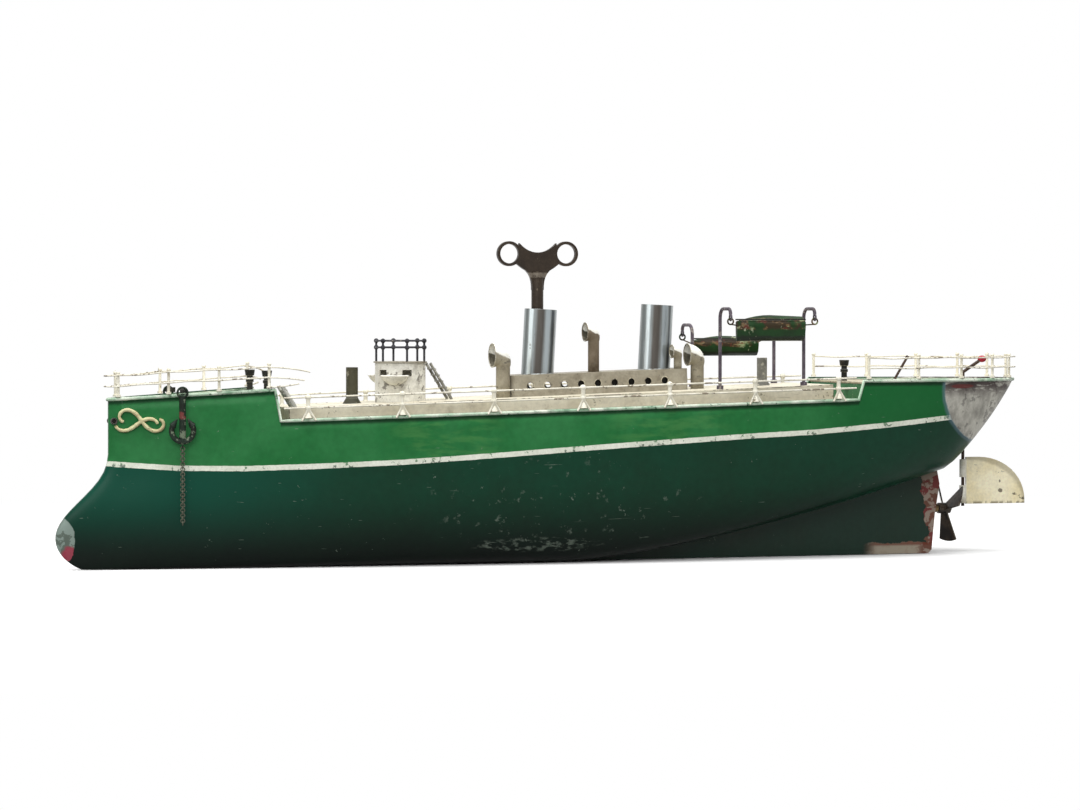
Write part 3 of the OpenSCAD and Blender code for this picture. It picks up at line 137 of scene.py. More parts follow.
def tin_colour(code):
    parts = [int(code[i:i + 2], 16) / 255 for i in (1, 3, 5)]
    return tuple(c / 12.92 if c < 0.04045 else ((c + 0.055) / 1.055) ** 2.4 for c in parts) + (1.0,)


def feed(node, inputs):
    for key, value in inputs.items():
        if isinstance(value, bpy.types.NodeSocket):
            node.id_data.links.new(value, node.inputs[key])
        else:
            node.inputs[key].default_value = tin_colour(value) if isinstance(value, str) else value


def add_node(tree, kind, inputs=None, **settings):
    made = tree.nodes.new("ShaderNode" + kind)
    for key, value in settings.items():
        setattr(made, key, value)
    feed(made, inputs or {})
    return made


def tree_of(values):
    return next(v.id_data for v in values if isinstance(v, bpy.types.NodeSocket))


def calc(operation, *values):
    return add_node(tree_of(values), "Math", dict(enumerate(values)), operation=operation).outputs[0]


def plus(a, b):
    return calc("ADD", a, b)


def minus(a, b):
    return calc("SUBTRACT", a, b)


def times(a, b):
    return calc("MULTIPLY", a, b)


def scaled(value, factor, offset):
    return calc("MULTIPLY_ADD", value, factor, offset)


def most(a, b):
    return calc("MAXIMUM", a, b)


def blend(share, under, over, mode="MIX"):
    inputs = {0: share, 6: under, 7: over}
    return add_node(tree_of(inputs.values()), "Mix", inputs, data_type="RGBA", blend_type=mode).outputs[2]


def fade(value, low, high):
    limits = {"Value": value, "From Min": low, "From Max": high}
    return add_node(value.id_data, "MapRange", limits, interpolation_type="SMOOTHSTEP").outputs[0]


def cloud(where, scale, detail=3.0, rough=0.55):
    settings = {"Vector": where, "Scale": scale, "Detail": detail, "Roughness": rough}
    return add_node(where.id_data, "TexNoise", settings).outputs["Fac"]


def stretched(where, scale, turn=(0.0, 0.0, 0.0)):
    settings = {"Vector": where, "Rotation": turn, "Scale": scale}
    return add_node(where.id_data, "Mapping", settings).outputs[0]


def effect_group(name, inputs, output, kind):
    group = bpy.data.node_groups.new(name, "ShaderNodeTree")
    for label, value in inputs.items():
        socket = "Vector" if label == "Vector" else "Color" if value is None else "Float"
        made = group.interface.new_socket(label, in_out="INPUT", socket_type="NodeSocket" + socket)
        if value is not None:
            made.default_value = value
    group.interface.new_socket(output, in_out="OUTPUT", socket_type="NodeSocket" + kind)
    return group, group.nodes.new("NodeGroupInput").outputs, group.nodes.new("NodeGroupOutput")


# Chips: small ragged spots where the enamel has come away
chip_group, given, result = effect_group(
    "chipped_spots", {"Vector": None, "Scale": 300.0, "Share": 0.2, "Soft": 0.02}, "Mask", "Float")
small = cloud(given["Vector"], given["Scale"], 5.0, 0.62)
wide = cloud(given["Vector"], times(given["Scale"], 0.17), 2.0)
low = scaled(given["Share"], -0.3, 0.68)
feed(result, {"Mask": fade(scaled(wide, 0.4, times(small, 0.6)), low, plus(low, given["Soft"]))})

# Drift: the slow change of an old paint's colour, with a fine unevenness over it
drift_group, given, result = effect_group(
    "paint_drift", {"Vector": None, "Scale": 50.0, "Strength": 0.6, "Paint": None, "Tint": None},
    "Colour", "Color")
slow = fade(cloud(given["Vector"], given["Scale"], 4.0), 0.36, 0.68)
mixed = blend(times(slow, given["Strength"]), given["Paint"], given["Tint"])
fine = cloud(given["Vector"], times(given["Scale"], 11.0), 2.0)
grey = add_node(drift_group, "CombineColor", dict.fromkeys(range(3), scaled(fine, 0.4, 0.8))).outputs[0]
feed(result, {"Colour": blend(1.0, mixed, grey, "MULTIPLY")})

# Scratches: fine marks, most of them along the ship
scratch_group, given, result = effect_group(
    "fine_scratches", {"Vector": None, "Scale": 900.0, "Share": 0.3}, "Mask", "Float")
marks = [cloud(stretched(given["Vector"], (0.035, 1.0, 1.0), (0.1, turn, 0.05)), given["Scale"], 1.5)
         for turn in (0.05, 1.1)]
low = scaled(given["Share"], -0.12, 0.76)
feed(result, {"Mask": fade(most(marks[0], minus(marks[1], 0.035)), low, plus(low, 0.015))})


def from_group(group, inputs):
    return add_node(inputs["Vector"].id_data, "Group", inputs, node_tree=group).outputs[0]


def drifted(where, scale, strength, paint, tint):
    return from_group(drift_group, {"Vector": where, "Scale": scale, "Strength": strength,
                                    "Paint": paint, "Tint": tint})


def chipped(where, scale, share, soft=0.02):
    return from_group(chip_group, {"Vector": where, "Scale": scale, "Share": share, "Soft": soft})


def scratched(where, scale, share):
    return from_group(scratch_group, {"Vector": where, "Scale": scale, "Share": share})


def start_material(name, metallic=0.0, shine=0.16):
    made = bpy.data.materials.new(name)
    made.use_nodes = True
    surface = made.node_tree.nodes["Principled BSDF"]
    feed(surface, {"Metallic": metallic, "Specular IOR Level": shine})
    return made, surface, add_node(made.node_tree, "TexCoord").outputs["Object"]


def finish_surface(surface, colour, rough, height, depth=0.00008, strength=0.5):
    bump = add_node(surface.id_data, "Bump", {"Height": height, "Strength": strength, "Distance": depth})
    feed(surface, {"Base Color": colour, "Roughness": rough, "Normal": bump.outputs[0]})


def split(where):
    return add_node(where.id_data, "SeparateXYZ", {0: where}).outputs


def stored(where, layer):
    return add_node(where.id_data, "Attribute", attribute_name=layer).outputs["Fac"]


def spot(where, ragged, grain, *spans):
    parts = [calc("POWER", calc("ABSOLUTE", calc("DIVIDE", minus(axis, middle), reach)), 2.0)
             for axis, middle, reach in spans]
    total = parts[0]
    for part in [*parts[1:], scaled(cloud(where, grain, 4.0, 0.6), ragged, -ragged / 2)]:
        total = plus(total, part)
    return total


def hull_enamel():
    made, surface, where = start_material("hull_enamel")
    x, _, z = split(where)
    above = stored(where, "above_line")
    below = stored(where, "below_rim")
    wobble = scaled(cloud(where, 260.0), 0.5, -0.25)
    above = plus(above, wobble)

    top = drifted(where, 26.0, 0.75, "#226b37", "#347b47")
    # Paler green patches on the upper hull amidships
    paler_spots = most(fade(spot(where, 0.9, 40.0, (x, -0.075, 0.035)), 1.0, 0.1),
                fade(spot(where, 0.9, 40.0, (x, 0.05, 0.04)), 1.0, 0.1))
    paler_patches = times(paler_spots, fade(cloud(stretched(where, (0.25, 1.0, 1.0)), 240.0, 4.0), 0.42, 0.66))
    top = blend(times(paler_patches, 0.4), top, "#55904f")
    top = blend(times(fade(x, 0.11, 0.17), 0.7), top, "#11592b")
    low = drifted(where, 22.0, 0.8, "#0d3a28", "#0f3322")
    # The near-black foot colour, blended in towards the keel below, is painted shade of the underside
    foot = drifted(where, 30.0, 0.7, "#07120d", "#0b1a12")
    # Bluish green on the lower hull towards the stem: a painted reflection
    low = blend(times(fade(x, -0.1, -0.22), 0.8), low, "#0b4a3a")
    low = blend(fade(z, 0.046, 0.004), low, foot)
    paint = blend(fade(above, -0.15, 0.15), low, top)

    line = times(fade(above, -1.5, -1.25), fade(above, 1.5, 1.25))
    line_worn = chipped(where, 420.0, 0.35)
    line = times(line, scaled(line_worn, -0.75, 1.0))
    white = drifted(where, 70.0, 0.6, "#eef0e2", "#cfd6c2")
    paint = blend(line, paint, white)

    # Knocks: thick on the lower hull amidships, few elsewhere, with long scrapes near the keel
    knocked = fade(spot(where, 0.8, 30.0, (x, 0.005, 0.13), (z, 0.02, 0.04)), 1.1, 0.1)
    chips = chipped(where, 620.0, scaled(knocked, 0.05, 0.05))
    scratches = scratched(where, 700.0, scaled(knocked, 0.3, 0.05))
    blotch = times(fade(spot(where, 0.9, 60.0, (x, -0.01, 0.085), (z, 0.034, 0.03)), 1.0, 0.2),
                  fade(cloud(where, 190.0, 4.0, 0.65), 0.61, 0.7))
    scrape = times(fade(spot(where, 0.9, 120.0, (x, -0.022, 0.04), (z, 0.0105, 0.0045)), 1.0, 0.3),
                  fade(cloud(stretched(where, (0.5, 1.0, 1.0)), 420.0, 4.0), 0.48, 0.62))
    scrape = times(scrape, 0.55)
    marks_all = most(times(chips, 0.55), most(times(scratches, 0.35), scrape))
    marks_all = most(marks_all, times(blotch, 0.45))
    undercoat = drifted(where, 400.0, 1.0, "#93a092", "#56655a")
    paint = blend(marks_all, paint, undercoat)
    # A dark band just under the rim roll: painted shadow of the roll
    shade = fade(plus(below, times(wobble, 2.0)), 4.6, 2.8)
    paint = blend(times(shade, 0.82), paint, "#0a2415")

    # Bare tin at the counter, with a bluish edge and rust below the rim, and on the ram
    counter = spot(where, 0.16, 110.0, (x, 0.2435, 0.0315), (z, 0.0905, 0.0282))
    ram = spot(where, 0.45, 130.0, (x, -0.281, 0.0152), (z, 0.0150, 0.0168))
    bare = most(fade(counter, 1.02, 0.97), fade(ram, 1.02, 0.96))
    tin = drifted(stretched(where, (1.0, 1.0, 0.6)), 120.0, 0.9, "#a7a59c", "#77756e")
    stains = chipped(where, 260.0, 0.5)
    tin = blend(times(stains, 0.55), tin, "#4d4a48")
    near_rim = cloud(stretched(where, (0.5, 1.0, 2.2)), 180.0, 4.0)
    near_rim = times(fade(below, 12.0, 3.0), fade(near_rim, 0.4, 0.52))
    tin = blend(times(near_rim, 0.9), tin, "#332627")
    tin = blend(fade(x, -0.2, -0.24), tin, blend(stains, "#75827b", "#566058"))
    rust = times(fade(spot(where, 1.0, 330.0, (x, 0.2236, 0.0085), (z, 0.0934, 0.0013)), 1.0, 0.6), 0.85)
    tin = blend(rust, tin, "#5c2e2c")
    red = fade(spot(where, 1.1, 420.0, (x, -0.2688, 0.0042), (z, 0.0081, 0.0048)), 1.25, 0.35)
    tin = blend(times(red, 0.9), tin, "#8c2f42")
    paint = blend(bare, paint, tin)
    fringe = times(fade(counter, 1.16, 1.04), fade(counter, 0.94, 1.0))
    paint = blend(times(fringe, 0.55), paint, "#5f7682")

    rough = scaled(cloud(where, 160.0), 0.22, 0.24)
    rough = plus(rough, times(most(bare, marks_all), 0.22))
    relief = scaled(marks_all, -0.8, times(cloud(where, 1400.0, 2.0), 0.18))
    relief = scaled(bare, -1.0, relief)
    relief = plus(relief, times(cloud(where, 30.0, 2.0), 3.5))
    finish_surface(surface, paint, rough, relief, 0.00012, 0.6)
    feed(surface, {"Metallic": times(bare, 0.55), "Specular IOR Level": 0.08,
                   "Coat Weight": 0.03, "Coat Roughness": 0.22})
    return made


def placed(name, data):
    made = bpy.data.objects.new(name, data)
    bpy.context.scene.collection.objects.link(made)
    return made


def show(data, name, body, slot, *replaced):
    made = placed(name, data)
    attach(made, body)
    if replaced:
        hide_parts(*replaced)
    return made


def to_mesh(bm, name, materials, smooth=35.0):
    mesh = bpy.data.meshes.new(name)
    bm.to_mesh(mesh)
    bm.free()
    for material in materials:
        mesh.materials.append(material)
    mesh.shade_smooth()
    mesh.set_sharp_from_angle(angle=math.radians(smooth))
    return mesh


def hull_shell(name, side, node, material):
    bm = bmesh.new()
    columns = len(HULL_STATIONS) - 1
    bmesh.ops.create_grid(bm, x_segments=columns, y_segments=SHELL_ROWS, size=1.0)
    above = bm.verts.layers.float.new("above_line")
    below = bm.verts.layers.float.new("below_rim")
    for vert in bm.verts:
        column = round((vert.co.x + 1) / 2 * columns)
        row = round((vert.co.y + 1) / 2 * SHELL_ROWS)
        x = HULL_STATIONS[column]
        rim, keel = rim_z(x), keel_z(x)
        rise = 1 - math.cos(math.pi / 2 * max(0, row - 1) / (SHELL_ROWS - 1)) ** ROW_CURVE
        z = keel + (rim - keel) * (rise if row > 0 else 0.0)
        y = hull_half(x, z) if row > 0 else 0.0
        y = 0.0 if column == 0 else y
        vert.co = Vector((x + ram_shift(x, z), side * max(MID_GAP, y), z)) * MM
        vert[above] = z - line_z(x + ram_shift(x, z))
        vert[below] = rim - z
    # The decks stop short of the stem and the stern: the shell is closed there under its rim
    top = [e for e in bm.edges if e.is_boundary and all(v[below] < 0.01 for v in e.verts)]
    ends = [e for e in top if not FOLD_FORE < sum(v.co.x for v in e.verts) / 2 / MM < FOLD_AFT]
    folded = bmesh.ops.extrude_edge_only(bm, edges=ends)["geom"]
    for vert in [g for g in folded if isinstance(g, bmesh.types.BMVert)]:
        vert.co = Vector((vert.co.x, side * MID_GAP * MM, vert.co.z - FOLD_DEPTH * MM))
        vert[below] = 3.0
    bmesh.ops.remove_doubles(bm, verts=bm.verts, dist=0.00001)
    bmesh.ops.recalc_face_normals(bm, faces=bm.faces)
    outside = max(bm.faces, key=lambda f: abs(f.calc_center_median().y))
    if outside.normal.y * side < 0:
        bmesh.ops.reverse_faces(bm, faces=bm.faces)
    # The fold's edges and faces come in no fixed order, so they are put in the order of their corners
    bm.verts.index_update()
    for parts in (bm.edges, bm.faces):
        parts.sort(key=lambda p: min(v.index for v in p.verts) * 1e5 + max(v.index for v in p.verts))
    made = show(to_mesh(bm, name, [material], 50.0), name, "ship", "hull_green", node)
    wall = made.modifiers.new("shell_wall", "SOLIDIFY")
    wall.thickness, wall.offset = SHELL_WALL * MM, -1.0


hull_paint = hull_enamel()
hull_shell("hull_shell_port", -1, "hull_port", hull_paint)
hull_shell("hull_shell_starboard", 1, "hull_starboard", hull_paint)

# Rolled rim. The shells' top edge is rolled over outwards and painted pale green to near white; the
# paleness stands largely for the lit top of the roll, a painted highlight.
ROLL_R = 0.95


def enamel(name, colour, tint, bare="#8b8a80", chips=0.2, rough=0.38, scale=60.0, dirt="#4a4032",
           dirt_share=0.35, strength=0.7, chip_scale=420.0, painted_top_highlight=None):
    made, surface, where = start_material(name)
    paint = drifted(where, scale, strength, colour, tint)
    grime = chipped(where, chip_scale * 0.35, dirt_share, 0.12)
    paint = blend(times(grime, 0.55), paint, dirt)
    gone = chipped(where, chip_scale, chips)
    # A lighter colour over the upper part of the surface: painted highlight
    if painted_top_highlight:
        highlight_share = stored(where, "above_hood")
        highlight_share = plus(highlight_share, scaled(cloud(where, 500.0), 0.5, -0.25))
        paint = blend(fade(highlight_share, -0.05, 0.2), paint, painted_top_highlight)
    lines = scratched(where, 1500.0, chips)
    gone = most(gone, times(lines, 0.5))
    paint = blend(times(gone, 0.85), paint, bare)
    ground = scaled(cloud(where, 300.0), 0.24, rough - 0.12)
    ground = plus(ground, times(most(gone, grime), 0.14))
    relief = scaled(gone, -1.0, times(cloud(where, 1500.0), 0.4))
    finish_surface(surface, paint, ground, relief)
    return made


def wires(name, paths, radius, body, slot, material, *replaced, closed=False, sides=3):
    curve = bpy.data.curves.new(name, "CURVE")
    curve.dimensions = "3D"
    curve.bevel_depth = radius * MM
    curve.bevel_resolution = sides
    curve.use_fill_caps = not closed
    for path in paths:
        spline = curve.splines.new("POLY")
        spline.points.add(len(path) - 1)
        for point, place in zip(spline.points, path):
            point.co = (*(Vector(place[:3]) * MM), 1.0)
            point.radius = place[3] if len(place) > 3 else 1.0
        spline.use_cyclic_u = closed
        spline.use_smooth = True
    curve.materials.append(material)
    show(curve, name, body, slot, *replaced)


def both(path):
    return [path, [(p[0], -p[1], *p[2:]) for p in path]]


# Pale green roll: largely a painted highlight of its lit top
rim_paint_and_highlight = enamel("rim_enamel_and_highlight", "#9dbba0", "#dfe6d6", "#3c5a44", 0.34, 0.36, 90.0, "#2c5a3c", 0.55, 1.0)
roll_path = [(x, hull_half(x, rim_z(x)) - 0.15, rim_z(x) - ROLL_R) for x in HULL_STATIONS[1:]]
roll_path = [(BOW_X + 0.1, 0.0, BOW_RIM - ROLL_R)] + roll_path
wires("rim_roll", both(roll_path), ROLL_R, "ship", "hull_green", rim_paint_and_highlight)

# Keel fin. A flat skeg folded from tin below the rising stern, with the stern tube through it. Its
# heel and its foot have lost their paint to rust and old red lead.
CORNER_ANGLE, FLAT_ANGLE, WELD = 28.0, 0.5, 0.000002


def fin_enamel(name, worn):
    made, surface, where = start_material(name)
    x, _, z = split(where)
    paint = drifted(where, 30.0, 0.8, "#152c22", "#1b2a20")
    chips = chipped(where, 560.0, 0.06 + worn)
    paint = blend(chips, paint, "#6d7a6c")
    ragged = scaled(cloud(where, 150.0, 4.0, 0.6), 0.016, -0.008)
    heel = plus(scaled(z, 0.16, x), ragged)
    heel = fade(heel, 0.2165, 0.2172)
    foot = times(fade(scaled(ragged, 0.35, z), 0.0066, 0.0058), fade(x, 0.176, 0.186))
    lost = most(heel, foot)
    flakes = cloud(where, 210.0, 4.0, 0.6)
    metal = blend(fade(flakes, 0.44, 0.5), "#6d4a3e", "#97877a")
    metal = blend(fade(cloud(where, 130.0, 3.0), 0.56, 0.6), metal, "#743a38")
    pale = times(foot, fade(x, 0.214, 0.206))
    metal = blend(times(pale, 0.85), metal, "#a39a88")
    rust_edge = times(foot, fade(z, 0.0038, 0.0054))
    metal = blend(times(rust_edge, 0.8), metal, "#6a3426")
    paint = blend(lost, paint, metal)
    rough = scaled(lost, 0.25, scaled(cloud(where, 200.0), 0.2, 0.3))
    relief = plus(times(lost, minus(flakes, 1.3)), times(chips, -0.5))
    finish_surface(surface, paint, rough, relief, 0.00015, 0.7)
    return made


def dressed(node, name, body, slot, paint, edge_paint, edge, segments=2, smooth=32.0):
    bm = bmesh.new()
    bm.from_mesh(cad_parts[node].data)
    bmesh.ops.remove_doubles(bm, verts=bm.verts, dist=WELD)
    bmesh.ops.dissolve_limit(bm, angle_limit=math.radians(FLAT_ANGLE), verts=bm.verts, edges=bm.edges)
    if edge:
        sharp = [e for e in bm.edges
                 if len(e.link_faces) == 2 and e.calc_face_angle(0.0) > math.radians(CORNER_ANGLE)]
        rounded = bmesh.ops.bevel(bm, geom=sharp, offset=edge * MM, offset_type="OFFSET", affect="EDGES",
                                  segments=segments, profile=0.5, material=-1, clamp_overlap=True)
        for face in rounded["faces"]:
            face.material_index = 1
    made = show(to_mesh(bm, name, [paint, edge_paint], smooth), name, body, slot, node)
    made.modifiers.new("even_shading", "WEIGHTED_NORMAL").keep_sharp = True


def wirework(node, name, body, slot, paint, smooth=50.0):
    dressed(node, name, body, slot, paint, paint, 0.0, smooth=smooth)


fin_paint, fin_edge = fin_enamel("fin_enamel", 0.0), fin_enamel("fin_enamel_worn", 0.3)
dressed("keel_fin", "keel_skeg", "ship", "hull_green", fin_paint, fin_edge, 0.9, segments=3)

# Decks and bulkheads. Flat tin, let in below the rim: cream decks gone tan with dirt, and green
# bulkheads that close the forecastle and the poop.
deck_paint = enamel("deck_cream", "#cbc2a8", "#a1957a", "#7d7666", 0.34, 0.5, 55.0, "#6b604c", 0.5)
deck_edge = enamel("deck_cream_worn", "#bdb394", "#948870", "#86827a", 0.7, 0.5, 55.0, "#5d5342", 0.5)
bulk_paint = enamel("bulkhead_green", "#2c6b42", "#3c7d50", "#93a08f", 0.28, 0.4, 70.0, "#26432f", 0.45)
bulk_edge = enamel("bulkhead_green_worn", "#7fa588", "#3c7d50", "#c3cbb9", 0.5, 0.4, 70.0, "#26432f", 0.3)
for node in ("forecastle_deck", "well_deck", "poop_deck"):
    dressed(node, node.replace("deck", "planking"), "ship", "deck_cream", deck_paint, deck_edge, 0.2)
for node in ("forecastle_bulkhead", "poop_bulkhead"):
    dressed(node, node.replace("bulkhead", "screen"), "ship", "hull_green", bulk_paint, bulk_edge, 0.2)

# Deck trunk and deckhouse. Two soldered tin boxes, the long low one carrying the other, once cream
# and now a dirty tan. Each porthole is punched through the wall and has a small raised ring.
house_paint = enamel("house_tan", "#9d9787", "#817969", "#6d685c", 0.3, 0.5, 70.0, "#6a6152", 0.5)
house_edge = enamel("house_tan_worn", "#c9c1aa", "#8b8474", "#5f5a50", 0.6, 0.45, 70.0, "#5a5142", 0.4)
trunk_paint = enamel("trunk_tan", "#dad4c0", "#c0b8a2", "#8f8a78", 0.25, 0.5, 50.0, "#958b76", 0.45)
dressed("deck_trunk", "trunk_box", "ship", "deck_cream", trunk_paint, house_edge, 0.5, segments=3)
dressed("deckhouse", "house_box", "ship", "deck_cream", house_paint, house_edge, 0.3)

PORT_X0, PORT_PITCH, PORT_RISE, RING_R = -20.4, 9.56, 5.6, 2.02
TRUNK_RISE, HOUSE_H, HOUSE_W, SHEET_IN, SHEET_H = 7.8, 11.5, 14.0, 1.6, 2.8


def trunk_z(x):
    return well_line(x) + TRUNK_RISE


def round_turn(count):
    return [2 * math.pi * i / count for i in range(count)]


port_rings = []
for x in (PORT_X0 + PORT_PITCH * i for i in range(9)):
    z = trunk_z(x) + PORT_RISE
    for side in (-1, 1):
        port_rings.append([(x + RING_R * math.cos(a), side * HOUSE_W, z + RING_R * math.sin(a))
                           for a in round_turn(24)])
wires("porthole_rings", port_rings, 0.22, "ship", "deck_cream", house_edge, closed=True, sides=2)
# Dark sheets inside the walls, standing for the shade inside the house (painted shade), from the fourth
# porthole aft to port and from the fifth to starboard
painted_shade_sheet = enamel("house_inside_shade", "#1c1a17", "#12110f", "#2c2a26", 0.2, 0.7, 90.0, "#0c0b0a", 0.3)
bm = bmesh.new()
for side, first in ((-1, 2.55), (1, 3.55)):
    for vert in bmesh.ops.create_grid(bm, x_segments=1, y_segments=1, size=1.0)["verts"]:
        x = PORT_X0 + PORT_PITCH * mix_values(first, 8.3, (vert.co.x + 1) / 2)
        z = trunk_z(x) + PORT_RISE + SHEET_H * vert.co.y
        vert.co = Vector((x, side * (HOUSE_W - SHEET_IN), z)) * MM
show(to_mesh(bm, "porthole_shade_sheets", [painted_shade_sheet]), "porthole_shade_sheets", "ship", "deck_cream")

# Funnels. Open tubes rolled from bright tinplate with a lapped seam, unpainted, with fine tarnish streaks
# and old solder. The light and dark bands round them are painted reflections. The key goes down the fore
# one.
FUNNEL_R, FUNNEL_RAKE, FUNNEL_FOOT_Z = 8.75, 3.2, 102.0


def bare_tin(name, bright, dull, streak, rough=0.3, metallic=0.85, scale=230.0, stain="#5a5048",
             stained=0.3):
    made, surface, where = start_material(name, metallic, 0.4)
    streaks = fade(cloud(stretched(where, streak), scale, 3.0, 0.5), 0.4, 0.62)
    fine = cloud(stretched(where, tuple(s * 4 for s in streak)), scale, 4.0, 0.6)
    colour = blend(streaks, bright, dull)
    colour = blend(times(fade(fine, 0.5, 0.75), 0.5), colour, dull)
    spots = chipped(where, 380.0, stained)
    colour = blend(times(spots, 0.6), colour, stain)
    scratches = scratched(where, 1600.0, 0.3)
    ground = scaled(fine, 0.2, rough - 0.1)
    ground = plus(ground, times(spots, 0.25))
    relief = scaled(scratches, -0.6, times(fine, 0.5))
    finish_surface(surface, colour, ground, relief, 0.00005, 0.4)
    return made


# Each band of painted reflection: where it lies round the tube as a share of a turn, half its width, and
# its colour
REFLECTION_BANDS = [(0.045, 0.03, "#6a7070"), (0.107, 0.032, "#eef9fb"), (0.2, 0.062, "#453f39"),
           (0.282, 0.036, "#a0a9ad"), (0.337, 0.026, "#4c5154"), (0.4, 0.04, "#b4babb"),
           (0.55, 0.06, "#626361"), (0.68, 0.03, "#dce6e6"), (0.8, 0.06, "#5f5b56"),
           (0.92, 0.04, "#aab2b4")]


def funnel_enamel(name, foot_x):
    made, surface, where = start_material(name, 0.6, 0.4)
    x, y, z = split(where)
    slope = math.tan(math.radians(FUNNEL_RAKE))
    ahead = plus(minus(x, foot_x * MM), scaled(z, -slope, FUNNEL_FOOT_Z * MM * slope))
    turned = scaled(calc("ARCTAN2", y, ahead), 0.5 / math.pi, 0.5)
    turned = plus(turned, scaled(cloud(stretched(where, (1.0, 1.0, 0.12)), 90.0), 0.05, -0.025))
    colour = drifted(stretched(where, (1.0, 1.0, 0.1)), 300.0, 0.8, "#98a0a2", "#71736f")
    # Light and dark bands by the angle round the tube: painted reflections
    for middle, reach, code in REFLECTION_BANDS:
        share = fade(calc("ABSOLUTE", minus(turned, middle)), reach, reach * 0.35)
        colour = blend(times(share, 0.94), colour, code)
    fine = cloud(stretched(where, (1.0, 1.0, 0.06)), 900.0, 4.0, 0.6)
    colour = blend(times(fade(fine, 0.5, 0.75), 0.35), colour, "#6a6863")
    spots = chipped(where, 380.0, 0.2, 0.06)
    colour = blend(times(spots, 0.5), colour, "#5a5450")
    rough = scaled(fine, 0.2, scaled(spots, 0.25, 0.22))
    finish_surface(surface, colour, rough, fine, 0.00004, 0.3)
    return made


funnel_edge = bare_tin("funnel_tin_edge", "#aeb4b4", "#6b6862", (1.0, 1.0, 0.3), 0.35, 0.7, 300.0)
for node, x in (("fore_funnel", -12.0), ("aft_funnel", 54.7)):
    funnel_tin = funnel_enamel(node + "_tin", x)
    dressed(node, node.replace("funnel", "stack"), "ship", "funnel_tin", funnel_tin, funnel_edge, 0.12)
    foot = Vector((x, 0.0, trunk_z(x) + HOUSE_H))
    rake = Matrix.Rotation(math.radians(FUNNEL_RAKE), 3, "Y")
    seam = [foot + rake @ Vector((0.0, FUNNEL_R - 0.05, h)) for h in (0.6, 12.0, 24.0, 34.4)]
    wires(node + "_seam", [seam], 0.22, "ship", "funnel_tin", funnel_edge, sides=2)
    edges = [foot + rake @ Vector((math.cos(a), math.sin(a), 0.0)) * FUNNEL_R for a in round_turn(48)]
    fillet = [(edge.x, edge.y, trunk_z(edge.x) + HOUSE_H + 0.15) for edge in edges]
    wires(node + "_solder", [fillet], 0.3, "ship", "funnel_tin", funnel_edge, closed=True, sides=2)

# Cowl ventilators. Tin tubes bent towards the bow and flared, with a rolled lip. They stand on the
# trunk and the deckhouse roof and are painted like them, with white lips; the white over the upper part of
# each hood is a painted highlight.
vent_paint = enamel("vent_tan", "#9d9684", "#7a7262", "#6e695e", 0.35, 0.5, 120.0, "#5a5346", 0.5,
                    painted_top_highlight="#f1f0e8")
brown_paint = enamel("vent_brown", "#7c705f", "#5c5041", "#6e695e", 0.35, 0.5, 120.0, "#4c4033", 0.5,
                     painted_top_highlight="#f1f0e8")
# The inside of the cowls: darker than the outside as painted shade, with the painted highlight at the top
mouth_paint = enamel("vent_mouth", "#6a6556", "#4a463b", "#8d887b", 0.2, 0.6, 150.0, "#23201a", 0.6,
                     painted_top_highlight="#e9e8e0")
lip_paint = enamel("lip_white", "#f2efe6", "#d9d5c6", "#8d887b", 0.3, 0.45, 150.0)
dark_paint = enamel("inside_dark", "#2b2723", "#1d1a18", "#3c3833", 0.2, 0.7, 90.0, "#1b1714", 0.3)
COWL_SWELL, COWL_GAP, COWL_FLARE, COWL_AHEAD = 0.55, 0.1, 1.7, 0.5
COWL_SIDES, COWL_WALL, LIP_R, LIP_SIDES, HIGHLIGHT_FROM = 40, 0.45, 0.3, 32, 1.38


def cowl_rings(neck, r):
    rings = [(0.0, neck * t, 0.0, r) for t in (0.0, 0.5)]
    for turn in range(0, 91, 9):
        a, size = math.radians(turn), 1 + COWL_SWELL * turn / 90
        reach = r * (size + COWL_GAP)
        rings.append((reach * math.cos(a) - r * (1 + COWL_GAP), neck + reach * math.sin(a), a, r * size))
    x, z, a, size = rings[-1]
    for t in (0.2, 0.4, 0.6, 0.8, 1.0):
        wide = mix_values(size, r * COWL_FLARE, math.sin(math.pi / 2 * t))
        rings.append((x - r * COWL_AHEAD * t, z, a, wide))
    return rings


